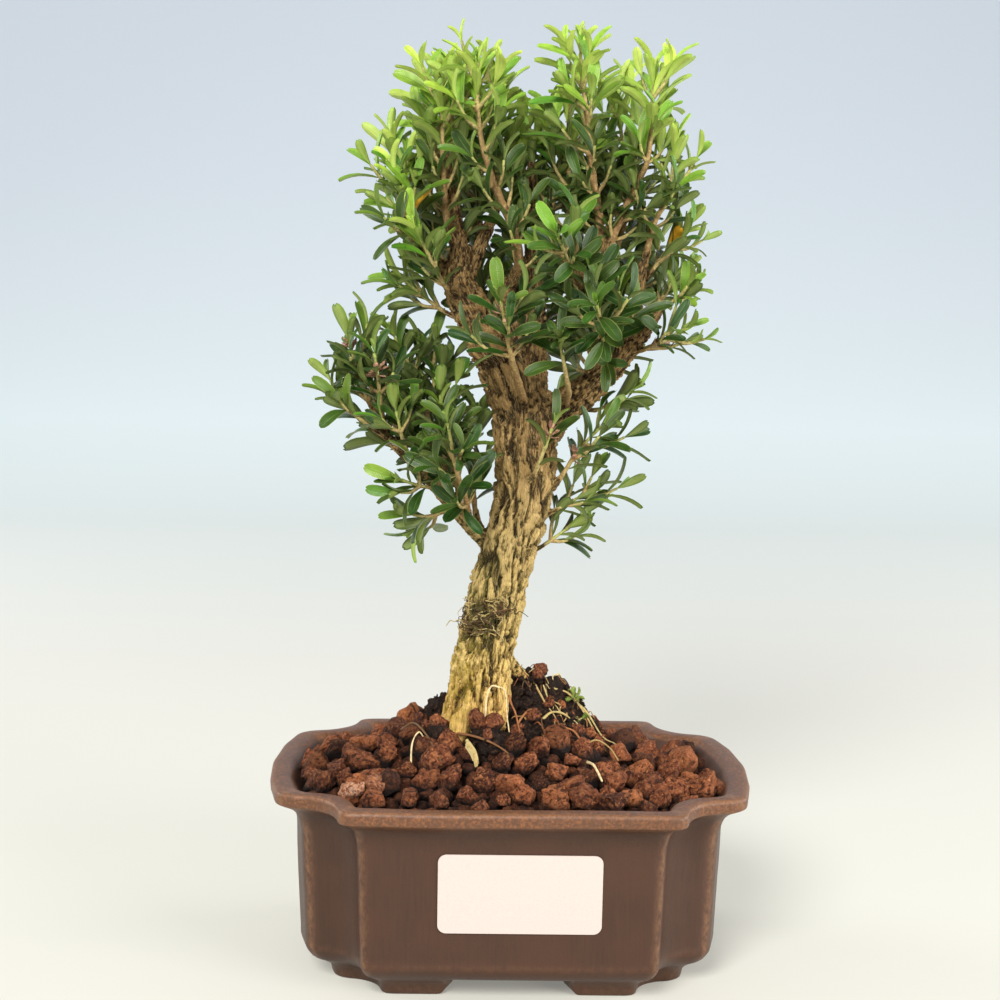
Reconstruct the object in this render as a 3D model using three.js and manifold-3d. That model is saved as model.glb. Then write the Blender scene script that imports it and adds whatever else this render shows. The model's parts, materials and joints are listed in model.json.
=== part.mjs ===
// A boxwood bonsai in its lobed ceramic pot: fissured leaning trunk, limbs and a node for each leafy shoot,
// standing in a root ball under red-brown lava grit. Millimetres, +Z up, -Y towards the viewer.
// The model is drawn about the middle of the pot, then moved so that its box stands centred on the origin.
import * as THREE from "three";
import { mergeVertices } from "three/addons/utils/BufferGeometryUtils.js";
import Module from "manifold-3d";

const wasm = await Module();
wasm.setup();

// Clearance kept between neighbouring pieces
const GAP = 0.3;

// Pot, outside sizes over the lip
const POT_HALF_WIDTH = 90;
const POT_HALF_DEPTH = 67;
const POT_HEIGHT = 74;
const FOOT_HEIGHT = 7;
const FLOOR_TOP = 13;
const FRONT_EDGE_HALF = 57;
const NOTCH_RADIUS = 18.5;
const NOTCH_CENTRE = [79.5, 64.5];
const LIP_DROP = 6;
const LIP_OVERHANG = 9.7;
const WALL_FOOT_INSET = 11.3;
const WALL_FOOT_Z = 16;
const WALL_TOP_Z = 58;
const INNER_INSET = 14;
const INNER_TOP_Z = 65;
const FOOT_INSET = 22;
const FOOT_THICKNESS = 10;
const FOOT_FRONT_END = 22;
const FOOT_SIDE_END = 20;
const FOOT_FLARE = 4;
const DRAIN_HOLE_RADIUS = 8;
const DRAIN_HOLE_X = 34;

// Plastic mesh squares over the drainage holes
const MESH_SIDE = 26;
const MESH_THICKNESS = 0.9;
const MESH_OPENING = 7;
const MESH_CELLS = 2;

// Sticker on the front wall
const LABEL = { left: -26, right: 32, bottom: 27.5, top: 56.5, corner: 3, thickness: 0.4 };

// Soil surface: a low bed, the mound at the trunk and the bare peat behind it
const BED_LEVEL = 64.5;
const MOUNDS = [
  { x: -14, y: 0, height: 24, spreadX: 30, spreadY: 23 },
  { x: 14, y: 17, height: 21, spreadX: 15, spreadY: 13 },
];
const CAVITY_CLEARANCE = 0.45;
const PEAT_PATCH = { x: 6, y: 10, halfX: 31, halfY: 20 };
const GRIT_THICKNESS = 3;
const GRIT_PITCH = 14;
const GRIT_JITTER = 2;
const GRIT_RANGE = 7;
const GRAIN_HEIGHT = 6.5;
const BED_SPOKES = 16;
const BED_SHARES = [1, 0.62, 0.32];
const BED_REACH = 1.1;
const PEAT_LUMPS = [[14, 19, 4.6], [24, 8, 3.8], [8, 2, 4.2]];

// Trunk stations: x, y, z of the middle, half width across X, half depth across Y
const TRUNK = [
  [-20, -5, 54, 8, 7],
  [-18, -5, 74, 12, 11],
  [-16, -5, 86, 12.8, 12],
  [-13.5, -4, 96, 12.2, 11.6],
  [-11.5, -1, 110, 11.3, 10.6],
  [-8.9, 1, 122, 10.3, 9.8],
  [-6.4, 2, 135, 10.3, 9.6],
  [-3.8, 3, 148, 10.5, 9.6],
  [0, 4.5, 162, 10.4, 9.6],
  [3.7, 5, 176, 10.1, 9.6],
  [4, 6, 191, 10.9, 10],
  [4.5, 6, 203, 12.4, 10.6],
  [5, 6, 212, 10, 8],
  [4, 6, 217, 5, 4],
];
const TRUNK_SIDES = 16;
const RIDGE_DEPTH = 0.085;
const RIDGE_TWIST = 0.003;

// Limbs: each point is x, y, z and radius
const LIMBS = [
  [[3, 5, 196, 8], [-4, 4, 223, 8.8], [-11, 2, 234, 7.8], [-17, 1, 245, 6.8], [-22, 0, 256, 5.6], [-21, 0, 268, 3.8]],
  [[-20, 1, 250, 3.6], [-29, 1, 260, 3], [-36, 0, 267, 2.4], [-40, 0, 274, 1.9]],
  [[-21, 0, 264, 3], [-24, 2, 282, 2.2], [-27, 3, 296, 1.7]],
  [[-20, 1, 254, 3], [-13, 4, 271, 2.3], [-8, 5, 283, 1.8]],
  [[3, 5, 202, 6.5], [-1, 4, 228, 5], [-5, 3, 245, 3.8], [-3, 0, 256, 2.6]],
  [[6, 7, 204, 6], [7, 7, 243, 3.6], [5, 5, 265, 2.8], [4, 3, 281, 2], [4, 2, 299, 1.3]],
  [[7, 6, 198, 8], [16, 6, 207, 7], [28, 5, 217, 5.4], [42, 3, 232, 4], [52, 2, 246, 2.4]],
  [[25, 5, 214, 4], [31, 5, 224, 3.6], [29, 1, 244, 3], [30, -2, 266, 2.2]],
  [[40, 3, 230, 3.2], [44, 2, 248, 2.5], [46, 0, 263, 1.9]],
  [
    [-2, 4, 153, 3.4], [-11, 4, 159, 3.2], [-22, 2, 171, 2.8], [-32, 0, 182, 2.4],
    [-39, 0, 189, 2.1], [-46, 0, 196, 1.8], [-52, 0, 205, 1.5],
  ],
];

// Shoots by place: each starts on the middle line of the limb that carries it and ends at its tip
const SHOOTS = {
  crown_left: [
    [[-22, 0, 265], [-26, -3, 275], [-28, -6, 295], [-29, -9, 326]],
    [[-26, 3, 292], [-26, 1, 306], [-24, -2, 331]],
    [[-3, 0, 254], [0, -7, 263], [-3, -12, 275], [-10, -15, 291], [-14, -17, 303], [-16, -19, 317], [-16, -20, 332]],
    [[-9, 5, 280], [-8, 8, 295], [-11, 14, 331]],
    [[-24, 2, 281], [-30, 6, 296], [-34, 8, 324]],
    [[-39, 0, 272], [-43, 0, 284], [-46, 0, 304]],
    [[-33, 0.5, 264], [-38, -7, 273], [-45, -12, 293]],
    [[-17, 1, 245], [-27, -9, 254], [-37, -17, 273]],
    [[-13, 2, 238], [-27, 4, 244], [-42, 6, 255]],
    [[5, 5, 266], [2, 10, 282], [1, 16, 311]],
    [[-21, 1, 260], [-24, 13, 274], [-29, 20, 303]],
    [[-14, 4, 270], [-15, 17, 286], [-18, 25, 314]],
  ],
  crown_right: [
    [[30, -2, 264], [29, -5, 279], [26, -9, 294], [24, -12, 310], [21, -14, 327], [20, -15, 340]],
    [[29, 0, 250], [22, 2, 264], [19, 2, 280], [17, 1, 320]],
    [[5, 4.5, 270], [12, 8, 282], [13, 10, 294], [10, 13, 312]],
    [[29.5, -0.5, 255], [36, 5, 268], [40, 8, 288], [36, 14, 323]],
    [[30, -2, 261], [36, -5, 277], [42, -6, 291], [46, -8, 302], [47, -9, 330]],
    [[46, 0, 261], [49, -4, 277], [54, -5, 288], [56, -5, 305]],
    [[45, 1, 254], [53, 5, 265], [61, 7, 276]],
    [[48, 2.5, 241], [54, 9, 250], [63, 14, 261]],
    [[51, 2, 244], [57, 1, 249], [65, 0, 254]],
    [[38, 3.5, 228], [50, -4, 233], [62, -8, 240]],
    [[20, 6, 210], [31, 10, 208], [43, 11, 215]],
  ],
  front: [
    [[29.5, 2, 238], [25, -12, 249], [18, -30, 260], [12, -44, 271]],
    [[30, 4, 229], [31, -9, 232], [29, -26, 239], [26, -42, 248]],
    [[38, 3.5, 228], [37, -7, 238], [36, -13, 253]],
    [[4, 4, 208], [2, -11, 215], [-1, -22, 224], [-4, -31, 234], [-7, -39, 249]],
    [[16, 6, 207], [19, -8, 214], [17, -21, 223], [14, -34, 235]],
  ],
  low_left: [
    [[-51, 0, 203.5], [-57, 0, 216], [-62, 0, 233]],
    [[-46, 0, 196], [-56, -3, 203], [-67, -5, 212]],
    [[-49, 0, 201], [-50, -6, 212], [-52, -12, 229]],
    [[-33, 0, 183], [-32, 5, 198], [-36, 10, 214], [-45, 15, 234]],
    [[-26, 1, 175.5], [-27, 6, 192], [-30, 12, 210], [-32, 18, 229]],
    [[-16, 3, 164], [-18, -7, 175], [-22, -16, 188], [-25, -25, 205]],
    [[-20, 2.5, 169], [-22, -1, 184], [-27, -3, 198], [-28, -4, 214]],
    [[-37, 0, 187], [-41, -6, 195], [-44, -10, 208]],
    [[-40, 0, 190], [-46, 7, 193], [-54, 11, 199]],
    [[-29, 1, 179], [-34, -8, 180], [-42, -13, 183]],
    [[-22, 2, 171], [-29, 4, 168], [-36, 5, 163]],
    [[-11, 4, 159], [-15, 8, 174], [-14, 11, 204]],
  ],
  trunk_right: [
    [[2, 5, 169], [14, 2, 179], [19, 0, 186], [23, -1, 193], [31, -2, 202]],
    [[1, 5, 163], [14, 7, 169], [27, 9, 176]],
    [[-3, 4, 150], [9, 6, 155], [21, 9, 163]],
    [[3, 5, 178], [7, -8, 185], [13, -15, 203]],
  ],
  back: [
    [[-11, 2, 234], [-11, 16, 243], [-15, 32, 260]],
    [[6, 7, 218], [6, 21, 231], [8, 39, 248]],
    [[26, 5, 215], [29, 20, 226], [33, 36, 244]],
    [[42, 3, 232], [45, 16, 243], [50, 29, 260]],
    [[-22, 0, 255], [-27, 13, 262], [-36, 27, 279]],
    [[7, 7, 240], [7, 20, 255], [4, 32, 282]],
    [[29, 1, 244], [32, 14, 258], [30, 27, 286]],
    [[-43, 0, 193], [-46, 13, 204], [-50, 21, 218]],
    [[4, 6, 182], [4, 20, 190], [6, 33, 205]],
  ],
};
const LIMB_SIDES = 5;
const LIMB_STEP = 17;
const STUB_REACH = 3.2;
const STUB_DEPTH = 1.2;
const STUB_SINK = 2;
const STUB_STEP = 0.5;
const SHOOT_SIDES = 4;
const STEM_TIP_RADIUS = 1;
const STEM_GROWTH = 0.018;
const STEM_STEP = 15;

// Leaves: size of a full blade, and how the pairs sit on a shoot
const LEAF_LENGTH = 15.5;
const LEAF_WIDTH = 6.6;
const LEAF_KEEL = 1.1;
const LEAF_ARCH = 0.09;
// Shares of the length at the waist and shoulder of a blade, and of its half width there
const LEAF_WAIST = 0.52;
const LEAF_WAIST_WIDTH = 0.96;
const LEAF_SHOULDER = 0.85;
const LEAF_SHOULDER_WIDTH = 0.84;
const PAIR_SPACING = 7.6;
const TIP_ANGLE = 33;
const BASE_ANGLE = 68;
const BARE_SHARE = 0.18;
const LEAF_CLEARANCE = 0.22;
// Changes tried in turn where a blade would touch another piece: turn, rise in degrees and scale
const LEAF_TRIES = [
  [0, 0, 1], [20, 0, 1], [-20, 0, 1], [0, -14, 1], [0, 12, 0.95], [32, -8, 0.9], [-32, -8, 0.9],
  [0, -22, 0.8], [45, 0, 0.8], [-45, 0, 0.8], [15, 8, 0.66], [-15, -16, 0.66],
];

const COLOURS = {
  pot: { color: 0x5f4d43, roughness: 0.55, metalness: 0 },
  label: { color: 0xf3e9df, roughness: 0.6, metalness: 0 },
  mesh: { color: 0x1d1f1e, roughness: 0.6, metalness: 0 },
  peat: { color: 0x231c19, roughness: 0.95, metalness: 0 },
  grit: { color: 0x6e3a26, roughness: 0.9, metalness: 0 },
  bark: { color: 0xa08a55, roughness: 0.85, metalness: 0 },
  leaf: { color: 0x3f6b2a, roughness: 0.42, metalness: 0 },
};

// Repeatable number from 0 to 1 for a list of whole-number keys
function draw(...keys) {
  let hash = 374761393;
  for (const key of keys) {
    hash = Math.imul(hash ^ (key + 1), 668265263);
    hash ^= hash >>> 15;
    hash = Math.imul(hash, 2246822519);
    hash ^= hash >>> 13;
  }
  return (hash >>> 0) / 4294967296;
}

function spread(low, high, ...keys) {
  return low + (high - low) * draw(...keys);
}

// Closed solid from a list of rings with the same number of points; each end is a fan or a point
function loft(rings, startMiddle, endMiddle) {
  const count = rings[0].length;
  const points = [];
  const faces = [];
  for (const ring of rings) {
    points.push(...ring);
  }
  for (let row = 0; row + 1 < rings.length; row += 1) {
    for (let i = 0; i < count; i += 1) {
      const a = row * count + i;
      const b = row * count + ((i + 1) % count);
      faces.push([a, b, b + count], [a, b + count, a + count]);
    }
  }
  const start = points.push(startMiddle) - 1;
  const end = points.push(endMiddle) - 1;
  const last = (rings.length - 1) * count;
  for (let i = 0; i < count; i += 1) {
    const next = (i + 1) % count;
    faces.push([start, next, i], [end, last + i, last + next]);
  }
  return indexed(points, faces);
}

// Buffer geometry from points and faces, turned so that its faces point out
function indexed(points, faces) {
  let volume = 0;
  for (const [a, b, c] of faces) {
    volume += points[a].dot(points[b].clone().cross(points[c]));
  }
  const turned = volume < 0 ? faces.map(([a, b, c]) => [a, c, b]) : faces;
  const geometry = new THREE.BufferGeometry();
  geometry.setAttribute(
    "position",
    new THREE.Float32BufferAttribute(points.flatMap((p) => [p.x, p.y, p.z]), 3),
  );
  geometry.setIndex(turned.flat());
  return geometry;
}

function solid(geometry) {
  const bare = geometry.clone();
  bare.deleteAttribute("normal");
  bare.deleteAttribute("uv");
  const merged = mergeVertices(bare, 1e-4);
  return new wasm.Manifold(
    new wasm.Mesh({
      numProp: 3,
      vertProperties: new Float32Array(merged.attributes.position.array),
      triVerts: new Uint32Array(merged.index.array),
    }),
  );
}

function geometryOf(manifold) {
  const mesh = manifold.getMesh();
  const geometry = new THREE.BufferGeometry();
  const count = mesh.vertProperties.length / mesh.numProp;
  const positions = new Float32Array(count * 3);
  for (let i = 0; i < count; i += 1) {
    for (let axis = 0; axis < 3; axis += 1) {
      positions[i * 3 + axis] = mesh.vertProperties[i * mesh.numProp + axis];
    }
  }
  geometry.setAttribute("position", new THREE.BufferAttribute(positions, 3));
  geometry.setIndex(new THREE.BufferAttribute(new Uint32Array(mesh.triVerts), 1));
  return geometry;
}

// Lobed outline over the lip, anticlockwise, as pairs of x and y
function potOutline() {
  const quarter = [
    [POT_HALF_WIDTH, 0],
    [POT_HALF_WIDTH - 1.6, 24],
    [POT_HALF_WIDTH - 5.6, 42],
  ];
  const arcSteps = 3;
  for (let i = 0; i <= arcSteps; i += 1) {
    const angle = Math.PI * (1.5 - (0.5 * i) / arcSteps);
    quarter.push([
      NOTCH_CENTRE[0] + NOTCH_RADIUS * Math.cos(angle),
      NOTCH_CENTRE[1] + NOTCH_RADIUS * Math.sin(angle),
    ]);
  }
  quarter.push([FRONT_EDGE_HALF + 2.8, POT_HALF_DEPTH - 0.7], [FRONT_EDGE_HALF, POT_HALF_DEPTH]);
  const back = [...quarter, [0, POT_HALF_DEPTH]];
  const backLeft = quarter.slice(1).reverse().map(([x, y]) => [-x, y]);
  const half = [...back, ...backLeft];
  return [...half, ...half.map(([x, y]) => [-x, -y])];
}

const OUTLINE = potOutline();

// Ring of the outline moved in by an inset, at a height
function potRing(inset, z) {
  const scaleX = (POT_HALF_WIDTH - inset) / POT_HALF_WIDTH;
  const scaleY = (POT_HALF_DEPTH - inset) / POT_HALF_DEPTH;
  return OUTLINE.map(([x, y]) => new THREE.Vector3(x * scaleX, y * scaleY, z));
}

function potShell() {
  const profile = [
    [21, FOOT_HEIGHT],
    [14.5, FOOT_HEIGHT + 2],
    [WALL_FOOT_INSET, WALL_FOOT_Z],
    [LIP_OVERHANG, WALL_TOP_Z],
    [6.5, WALL_TOP_Z + 6.5],
    [0.8, POT_HEIGHT - LIP_DROP],
    [0, POT_HEIGHT - 3],
    [1.6, POT_HEIGHT],
    [7.4, POT_HEIGHT],
    [INNER_INSET, INNER_TOP_Z],
    [15.2, 22],
    [17.5, FLOOR_TOP + 1],
    [21, FLOOR_TOP],
  ];
  const rings = profile.map(([inset, z]) => potRing(inset, z));
  return loft(rings, new THREE.Vector3(0, 0, FOOT_HEIGHT), new THREE.Vector3(0, 0, FLOOR_TOP));
}

// Foot under one notch: a bracket that follows the inset outline from the front edge to the side
function potFoot(signX, signY) {
  const corner = OUTLINE.slice(1, 9);
  const strip = (inset, frontEnd, sideEnd) => {
    const scaleX = (POT_HALF_WIDTH - inset) / POT_HALF_WIDTH;
    const scaleY = (POT_HALF_DEPTH - inset) / POT_HALF_DEPTH;
    const points = corner.slice(1).map(([x, y]) => [x * scaleX, y * scaleY]);
    points.unshift([POT_HALF_WIDTH * scaleX - 1, sideEnd]);
    points.push([frontEnd, POT_HALF_DEPTH * scaleY]);
    return points;
  };
  const level = (grow, z) => {
    const frontEnd = FOOT_FRONT_END - grow;
    const sideEnd = FOOT_SIDE_END - grow;
    const outer = strip(FOOT_INSET, frontEnd, sideEnd);
    const inner = strip(FOOT_INSET + FOOT_THICKNESS, frontEnd, sideEnd).reverse();
    return [...outer, ...inner].map(([x, y]) => new THREE.Vector3(x * signX, y * signY, z));
  };
  const bottom = level(0, 0);
  const top = level(FOOT_FLARE, FOOT_HEIGHT + 0.8);
  const count = bottom.length;
  const points = [...bottom, ...top];
  const faces = [];
  for (let i = 0; i < count; i += 1) {
    const next = (i + 1) % count;
    faces.push([i, next, next + count], [i, next + count, i + count]);
  }
  for (let i = 0; i + 1 < count / 2; i += 1) {
    const j = count - 1 - i;
    faces.push([i, j, i + 1], [i + 1, j, j - 1]);
    faces.push([i + count, i + 1 + count, j + count], [i + 1 + count, j - 1 + count, j + count]);
  }
  return indexed(points, faces);
}

function uprightCylinder(radius, bottom, top, x) {
  const geometry = new THREE.CylinderGeometry(radius, radius, top - bottom, 14);
  geometry.rotateX(Math.PI / 2);
  geometry.translate(x, 0, (top + bottom) / 2);
  return geometry;
}

function pot() {
  let body = solid(potShell());
  for (const signX of [-1, 1]) {
    for (const signY of [-1, 1]) {
      body = body.add(solid(potFoot(signX, signY)));
    }
    const hole = uprightCylinder(DRAIN_HOLE_RADIUS, FOOT_HEIGHT - 1, FLOOR_TOP + 1, signX * DRAIN_HOLE_X);
    body = body.subtract(solid(hole));
  }
  return body;
}

function slab(width, depth, height, x, y, z) {
  const geometry = new THREE.BoxGeometry(width, depth, height);
  geometry.translate(x, y, z);
  return solid(geometry);
}

function drainMesh(x) {
  const z = FLOOR_TOP + GAP + MESH_THICKNESS / 2;
  let body = slab(MESH_SIDE, MESH_SIDE, MESH_THICKNESS, x, 0, z);
  const pitch = MESH_SIDE / MESH_CELLS;
  for (let column = 0; column < MESH_CELLS; column += 1) {
    for (let row = 0; row < MESH_CELLS; row += 1) {
      const cellX = x + (column - (MESH_CELLS - 1) / 2) * pitch;
      const cellY = (row - (MESH_CELLS - 1) / 2) * pitch;
      body = body.subtract(slab(MESH_OPENING, MESH_OPENING, 3 * MESH_THICKNESS, cellX, cellY, z));
    }
  }
  return body;
}

// Rounded rectangle laid on the slightly leaning front wall
function label() {
  const { left, right, bottom, top, corner, thickness } = LABEL;
  const wallY = (z) => {
    const share = (z - WALL_FOOT_Z) / (WALL_TOP_Z - WALL_FOOT_Z);
    return -(POT_HALF_DEPTH - WALL_FOOT_INSET - (LIP_OVERHANG - WALL_FOOT_INSET) * share);
  };
  const outline = [];
  const corners = [[right, bottom, -90], [right, top, 0], [left, top, 90], [left, bottom, 180]];
  for (const [x, z, startAngle] of corners) {
    const cx = x + (x === right ? -corner : corner);
    const cz = z + (z === top ? -corner : corner);
    for (let i = 0; i <= 2; i += 1) {
      const angle = THREE.MathUtils.degToRad(startAngle + 45 * i);
      outline.push([cx + corner * Math.cos(angle), cz + corner * Math.sin(angle)]);
    }
  }
  const ring = (depth) => outline.map(([x, z]) => new THREE.Vector3(x, wallY(z) - depth, z));
  const cx = (left + right) / 2;
  const cz = (bottom + top) / 2;
  const back = new THREE.Vector3(cx, wallY(cz) - GAP, cz);
  const face = new THREE.Vector3(cx, wallY(cz) - GAP - thickness, cz);
  return solid(loft([ring(GAP), ring(GAP + thickness)], back, face));
}

function soilHeight(x, y) {
  let z = BED_LEVEL;
  for (const mound of MOUNDS) {
    const dx = (x - mound.x) / mound.spreadX;
    const dy = (y - mound.y) / mound.spreadY;
    z += mound.height * Math.exp(-(dx * dx + dy * dy) / 2);
  }
  return z;
}

// Space inside the pot, drawn in by the clearance and carried up above the rim
function cavity() {
  const profile = [
    [21, FLOOR_TOP + GAP],
    [17.5, FLOOR_TOP + 1 + GAP],
    [15.2, 22],
    [INNER_INSET, INNER_TOP_Z],
    [7.4, POT_HEIGHT],
    [7.4, POT_HEIGHT + 60],
  ];
  const rings = profile.map(([inset, z]) => potRing(inset + CAVITY_CLEARANCE, z));
  const low = new THREE.Vector3(0, 0, FLOOR_TOP + GAP);
  return solid(loft(rings, low, new THREE.Vector3(0, 0, POT_HEIGHT + 60)));
}

// Solid from the floor up to a lift over the soil surface, drawn on a coarse round grid wider than the pot
function bedSolid(lift) {
  const { x: middleX, y: middleY } = MOUNDS[0];
  const rings = BED_SHARES.map((share) => {
    const ring = [];
    for (let i = 0; i < BED_SPOKES; i += 1) {
      const angle = (2 * Math.PI * i) / BED_SPOKES;
      const x = middleX * (1 - share) + BED_REACH * POT_HALF_WIDTH * share * Math.cos(angle);
      const y = middleY * (1 - share) + BED_REACH * POT_HALF_DEPTH * share * Math.sin(angle);
      ring.push(new THREE.Vector3(x, y, soilHeight(x, y) + lift));
    }
    return ring;
  });
  const base = rings[0].map((p) => new THREE.Vector3(p.x, p.y, FLOOR_TOP - 1));
  const peak = new THREE.Vector3(middleX, middleY, soilHeight(middleX, middleY) + lift);
  return solid(loft([base, ...rings], new THREE.Vector3(middleX, middleY, FLOOR_TOP - 1), peak));
}

function lump(x, y, z, radius, key) {
  const geometry = mergeVertices(bareIcosahedron(), 1e-4);
  const position = geometry.attributes.position;
  const turn = new THREE.Euler(spread(0, 6.3, key, 1), spread(0, 6.3, key, 2), spread(0, 6.3, key, 3));
  const stretch = new THREE.Vector3(spread(0.9, 1.2, key, 4), spread(0.85, 1.1, key, 5), spread(0.75, 0.95, key, 6));
  const vertex = new THREE.Vector3();
  for (let i = 0; i < position.count; i += 1) {
    vertex.fromBufferAttribute(position, i).multiplyScalar(radius * spread(0.84, 1.14, key, 10 + i));
    vertex.applyEuler(turn).multiply(stretch);
    position.setXYZ(i, vertex.x + x, vertex.y + y, vertex.z + z);
  }
  return solid(geometry);
}

function bareIcosahedron() {
  const geometry = new THREE.IcosahedronGeometry(1, 0);
  geometry.deleteAttribute("normal");
  geometry.deleteAttribute("uv");
  return geometry;
}

function soil(trunkHole) {
  let body = bedSolid(0).intersect(cavity());
  PEAT_LUMPS.forEach(([x, y, radius], i) => {
    body = body.add(lump(x, y, soilHeight(x, y) + radius * 0.45, radius, 900 + i));
  });
  for (const sign of [-1, 1]) {
    const side = MESH_SIDE + 2 * GAP;
    body = body.subtract(slab(side, side, 2 * (MESH_THICKNESS + 2 * GAP), sign * DRAIN_HOLE_X, 0, FLOOR_TOP));
  }
  return largestPart(body.subtract(trunkHole));
}

// Middle of the grain at a place of the six-sided lattice
function grainMiddle(q, r) {
  const key = (q + 20) * 50 + r + 20;
  const x = GRIT_PITCH * (q + r / 2) + spread(-GRIT_JITTER, GRIT_JITTER, key, 7);
  const y = GRIT_PITCH * r * Math.sqrt(0.75) + spread(-GRIT_JITTER, GRIT_JITTER, key, 8);
  return new THREE.Vector3(x, y, 0);
}

// Layer of faceted grains, each a six-sided hump that meets its neighbours in the valleys between them
function grainLayer() {
  const directions = [[1, 0], [0, 1], [-1, 1], [-1, 0], [0, -1], [1, -1]];
  const points = [];
  const faces = [];
  const corners = new Map();
  const baseMiddle = points.push(new THREE.Vector3(0, 0, FLOOR_TOP)) - 1;
  const inRange = (q, r) => Math.max(Math.abs(q), Math.abs(r), Math.abs(q + r)) <= GRIT_RANGE;
  const cornerOf = (q, r, k) => {
    const cells = [[0, 0], directions[k], directions[(k + 1) % 6]].map(([dq, dr]) => [q + dq, r + dr]);
    const name = cells.map((cell) => cell.join(" ")).sort().join(",");
    if (!corners.has(name)) {
      const place = new THREE.Vector3();
      cells.forEach(([cq, cr]) => place.addScaledVector(grainMiddle(cq, cr), 1 / 3));
      place.z = soilHeight(place.x, place.y) + 2 * GAP + GRIT_THICKNESS;
      const top = points.push(place) - 1;
      const base = points.push(new THREE.Vector3(place.x, place.y, FLOOR_TOP)) - 1;
      corners.set(name, { top, base });
    }
    return corners.get(name);
  };
  for (let q = -GRIT_RANGE; q <= GRIT_RANGE; q += 1) {
    for (let r = -GRIT_RANGE; r <= GRIT_RANGE; r += 1) {
      if (inRange(q, r)) {
        const key = (q + 20) * 50 + r + 20;
        const middle = grainMiddle(q, r);
        const height = GRAIN_HEIGHT * spread(0.7, 1.25, key, 9);
        const ground = soilHeight(middle.x, middle.y) + 2 * GAP + GRIT_THICKNESS;
        const crown = points.push(new THREE.Vector3(middle.x, middle.y, ground + height)) - 1;
        const shoulders = directions.map((_, k) => {
          const corner = points[cornerOf(q, r, k).top];
          const place = middle.clone().lerp(corner, spread(0.66, 0.86, key, 30 + k));
          place.z = ground + height * spread(0.5, 0.85, key, 40 + k);
          return points.push(place) - 1;
        });
        for (let k = 0; k < 6; k += 1) {
          const next = (k + 1) % 6;
          const here = cornerOf(q, r, k);
          const there = cornerOf(q, r, next);
          faces.push([crown, shoulders[k], shoulders[next]]);
          faces.push([shoulders[k], here.top, there.top], [shoulders[k], there.top, shoulders[next]]);
          if (!inRange(q + directions[next][0], r + directions[next][1])) {
            faces.push([here.top, here.base, there.base], [here.top, there.base, there.top]);
            faces.push([baseMiddle, there.base, here.base]);
          }
        }
      }
    }
  }
  return solid(indexed(points, faces));
}

// Grit over the soil, inside the pot, open where the peat lies bare
function grit(trunkHole) {
  const patch = new THREE.CylinderGeometry(1, 1, 2 * POT_HEIGHT, BED_SPOKES);
  patch.rotateX(Math.PI / 2);
  patch.scale(PEAT_PATCH.halfX, PEAT_PATCH.halfY, 1);
  patch.translate(PEAT_PATCH.x, PEAT_PATCH.y, POT_HEIGHT);
  const layer = grainLayer().intersect(cavity()).subtract(bedSolid(GAP)).subtract(solid(patch));
  return largestPart(layer.subtract(trunkHole));
}

function largestPart(manifold) {
  const pieces = manifold.decompose();
  return pieces.reduce((best, piece) => (piece.volume() > best.volume() ? piece : best));
}

// Smooth line through points: positions with a frame that turns as little as it can
function smoothLine(points, stepsPerSpan) {
  const curve = new THREE.CatmullRomCurve3(
    points.map(([x, y, z]) => new THREE.Vector3(x, y, z)), false, "catmullrom", 0.5,
  );
  const places = curve.getPoints((points.length - 1) * stepsPerSpan);
  const line = [];
  let length = 0;
  let side = null;
  places.forEach((place, i) => {
    const before = places[Math.max(i - 1, 0)];
    const after = places[Math.min(i + 1, places.length - 1)];
    const along = after.clone().sub(before).normalize();
    if (side === null) {
      const helper = Math.abs(along.y) < 0.9 ? new THREE.Vector3(0, 1, 0) : new THREE.Vector3(1, 0, 0);
      side = along.clone().cross(helper).normalize();
    } else {
      length += place.distanceTo(places[i - 1]);
      side = side.clone().addScaledVector(along, -side.dot(along)).normalize();
    }
    line.push({ place, along, side, length });
  });
  return line;
}

// Place and frame at a distance along a line
function walk(line, distance) {
  let i = 1;
  while (i < line.length - 1 && line[i].length < distance) {
    i += 1;
  }
  const a = line[i - 1];
  const b = line[i];
  const share = (distance - a.length) / (b.length - a.length);
  const place = a.place.clone().lerp(b.place, share);
  const along = a.along.clone().lerp(b.along, share).normalize();
  let side = a.side.clone().lerp(b.side, share);
  side = side.addScaledVector(along, -side.dot(along)).normalize();
  return { place, along, side, other: along.clone().cross(side) };
}

function ringAt(frame, radius, sides, turn) {
  const ring = [];
  for (let i = 0; i < sides; i += 1) {
    const angle = turn + (2 * Math.PI * i) / sides;
    ring.push(frame.place.clone()
      .addScaledVector(frame.side, radius * Math.cos(angle))
      .addScaledVector(frame.other, radius * Math.sin(angle)));
  }
  return ring;
}

// Bar along part of a line, with flat ends
function bar(line, from, to, radiusAt, sides, step, turn) {
  const steps = Math.max(1, Math.round((to - from) / step));
  const frames = [];
  for (let i = 0; i <= steps; i += 1) {
    const distance = from + ((to - from) * i) / steps;
    frames.push({ frame: walk(line, distance), radius: radiusAt(distance) });
  }
  const rings = frames.map(({ frame, radius }) => ringAt(frame, radius, sides, turn));
  return solid(loft(rings, frames[0].frame.place, frames[steps].frame.place));
}

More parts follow.
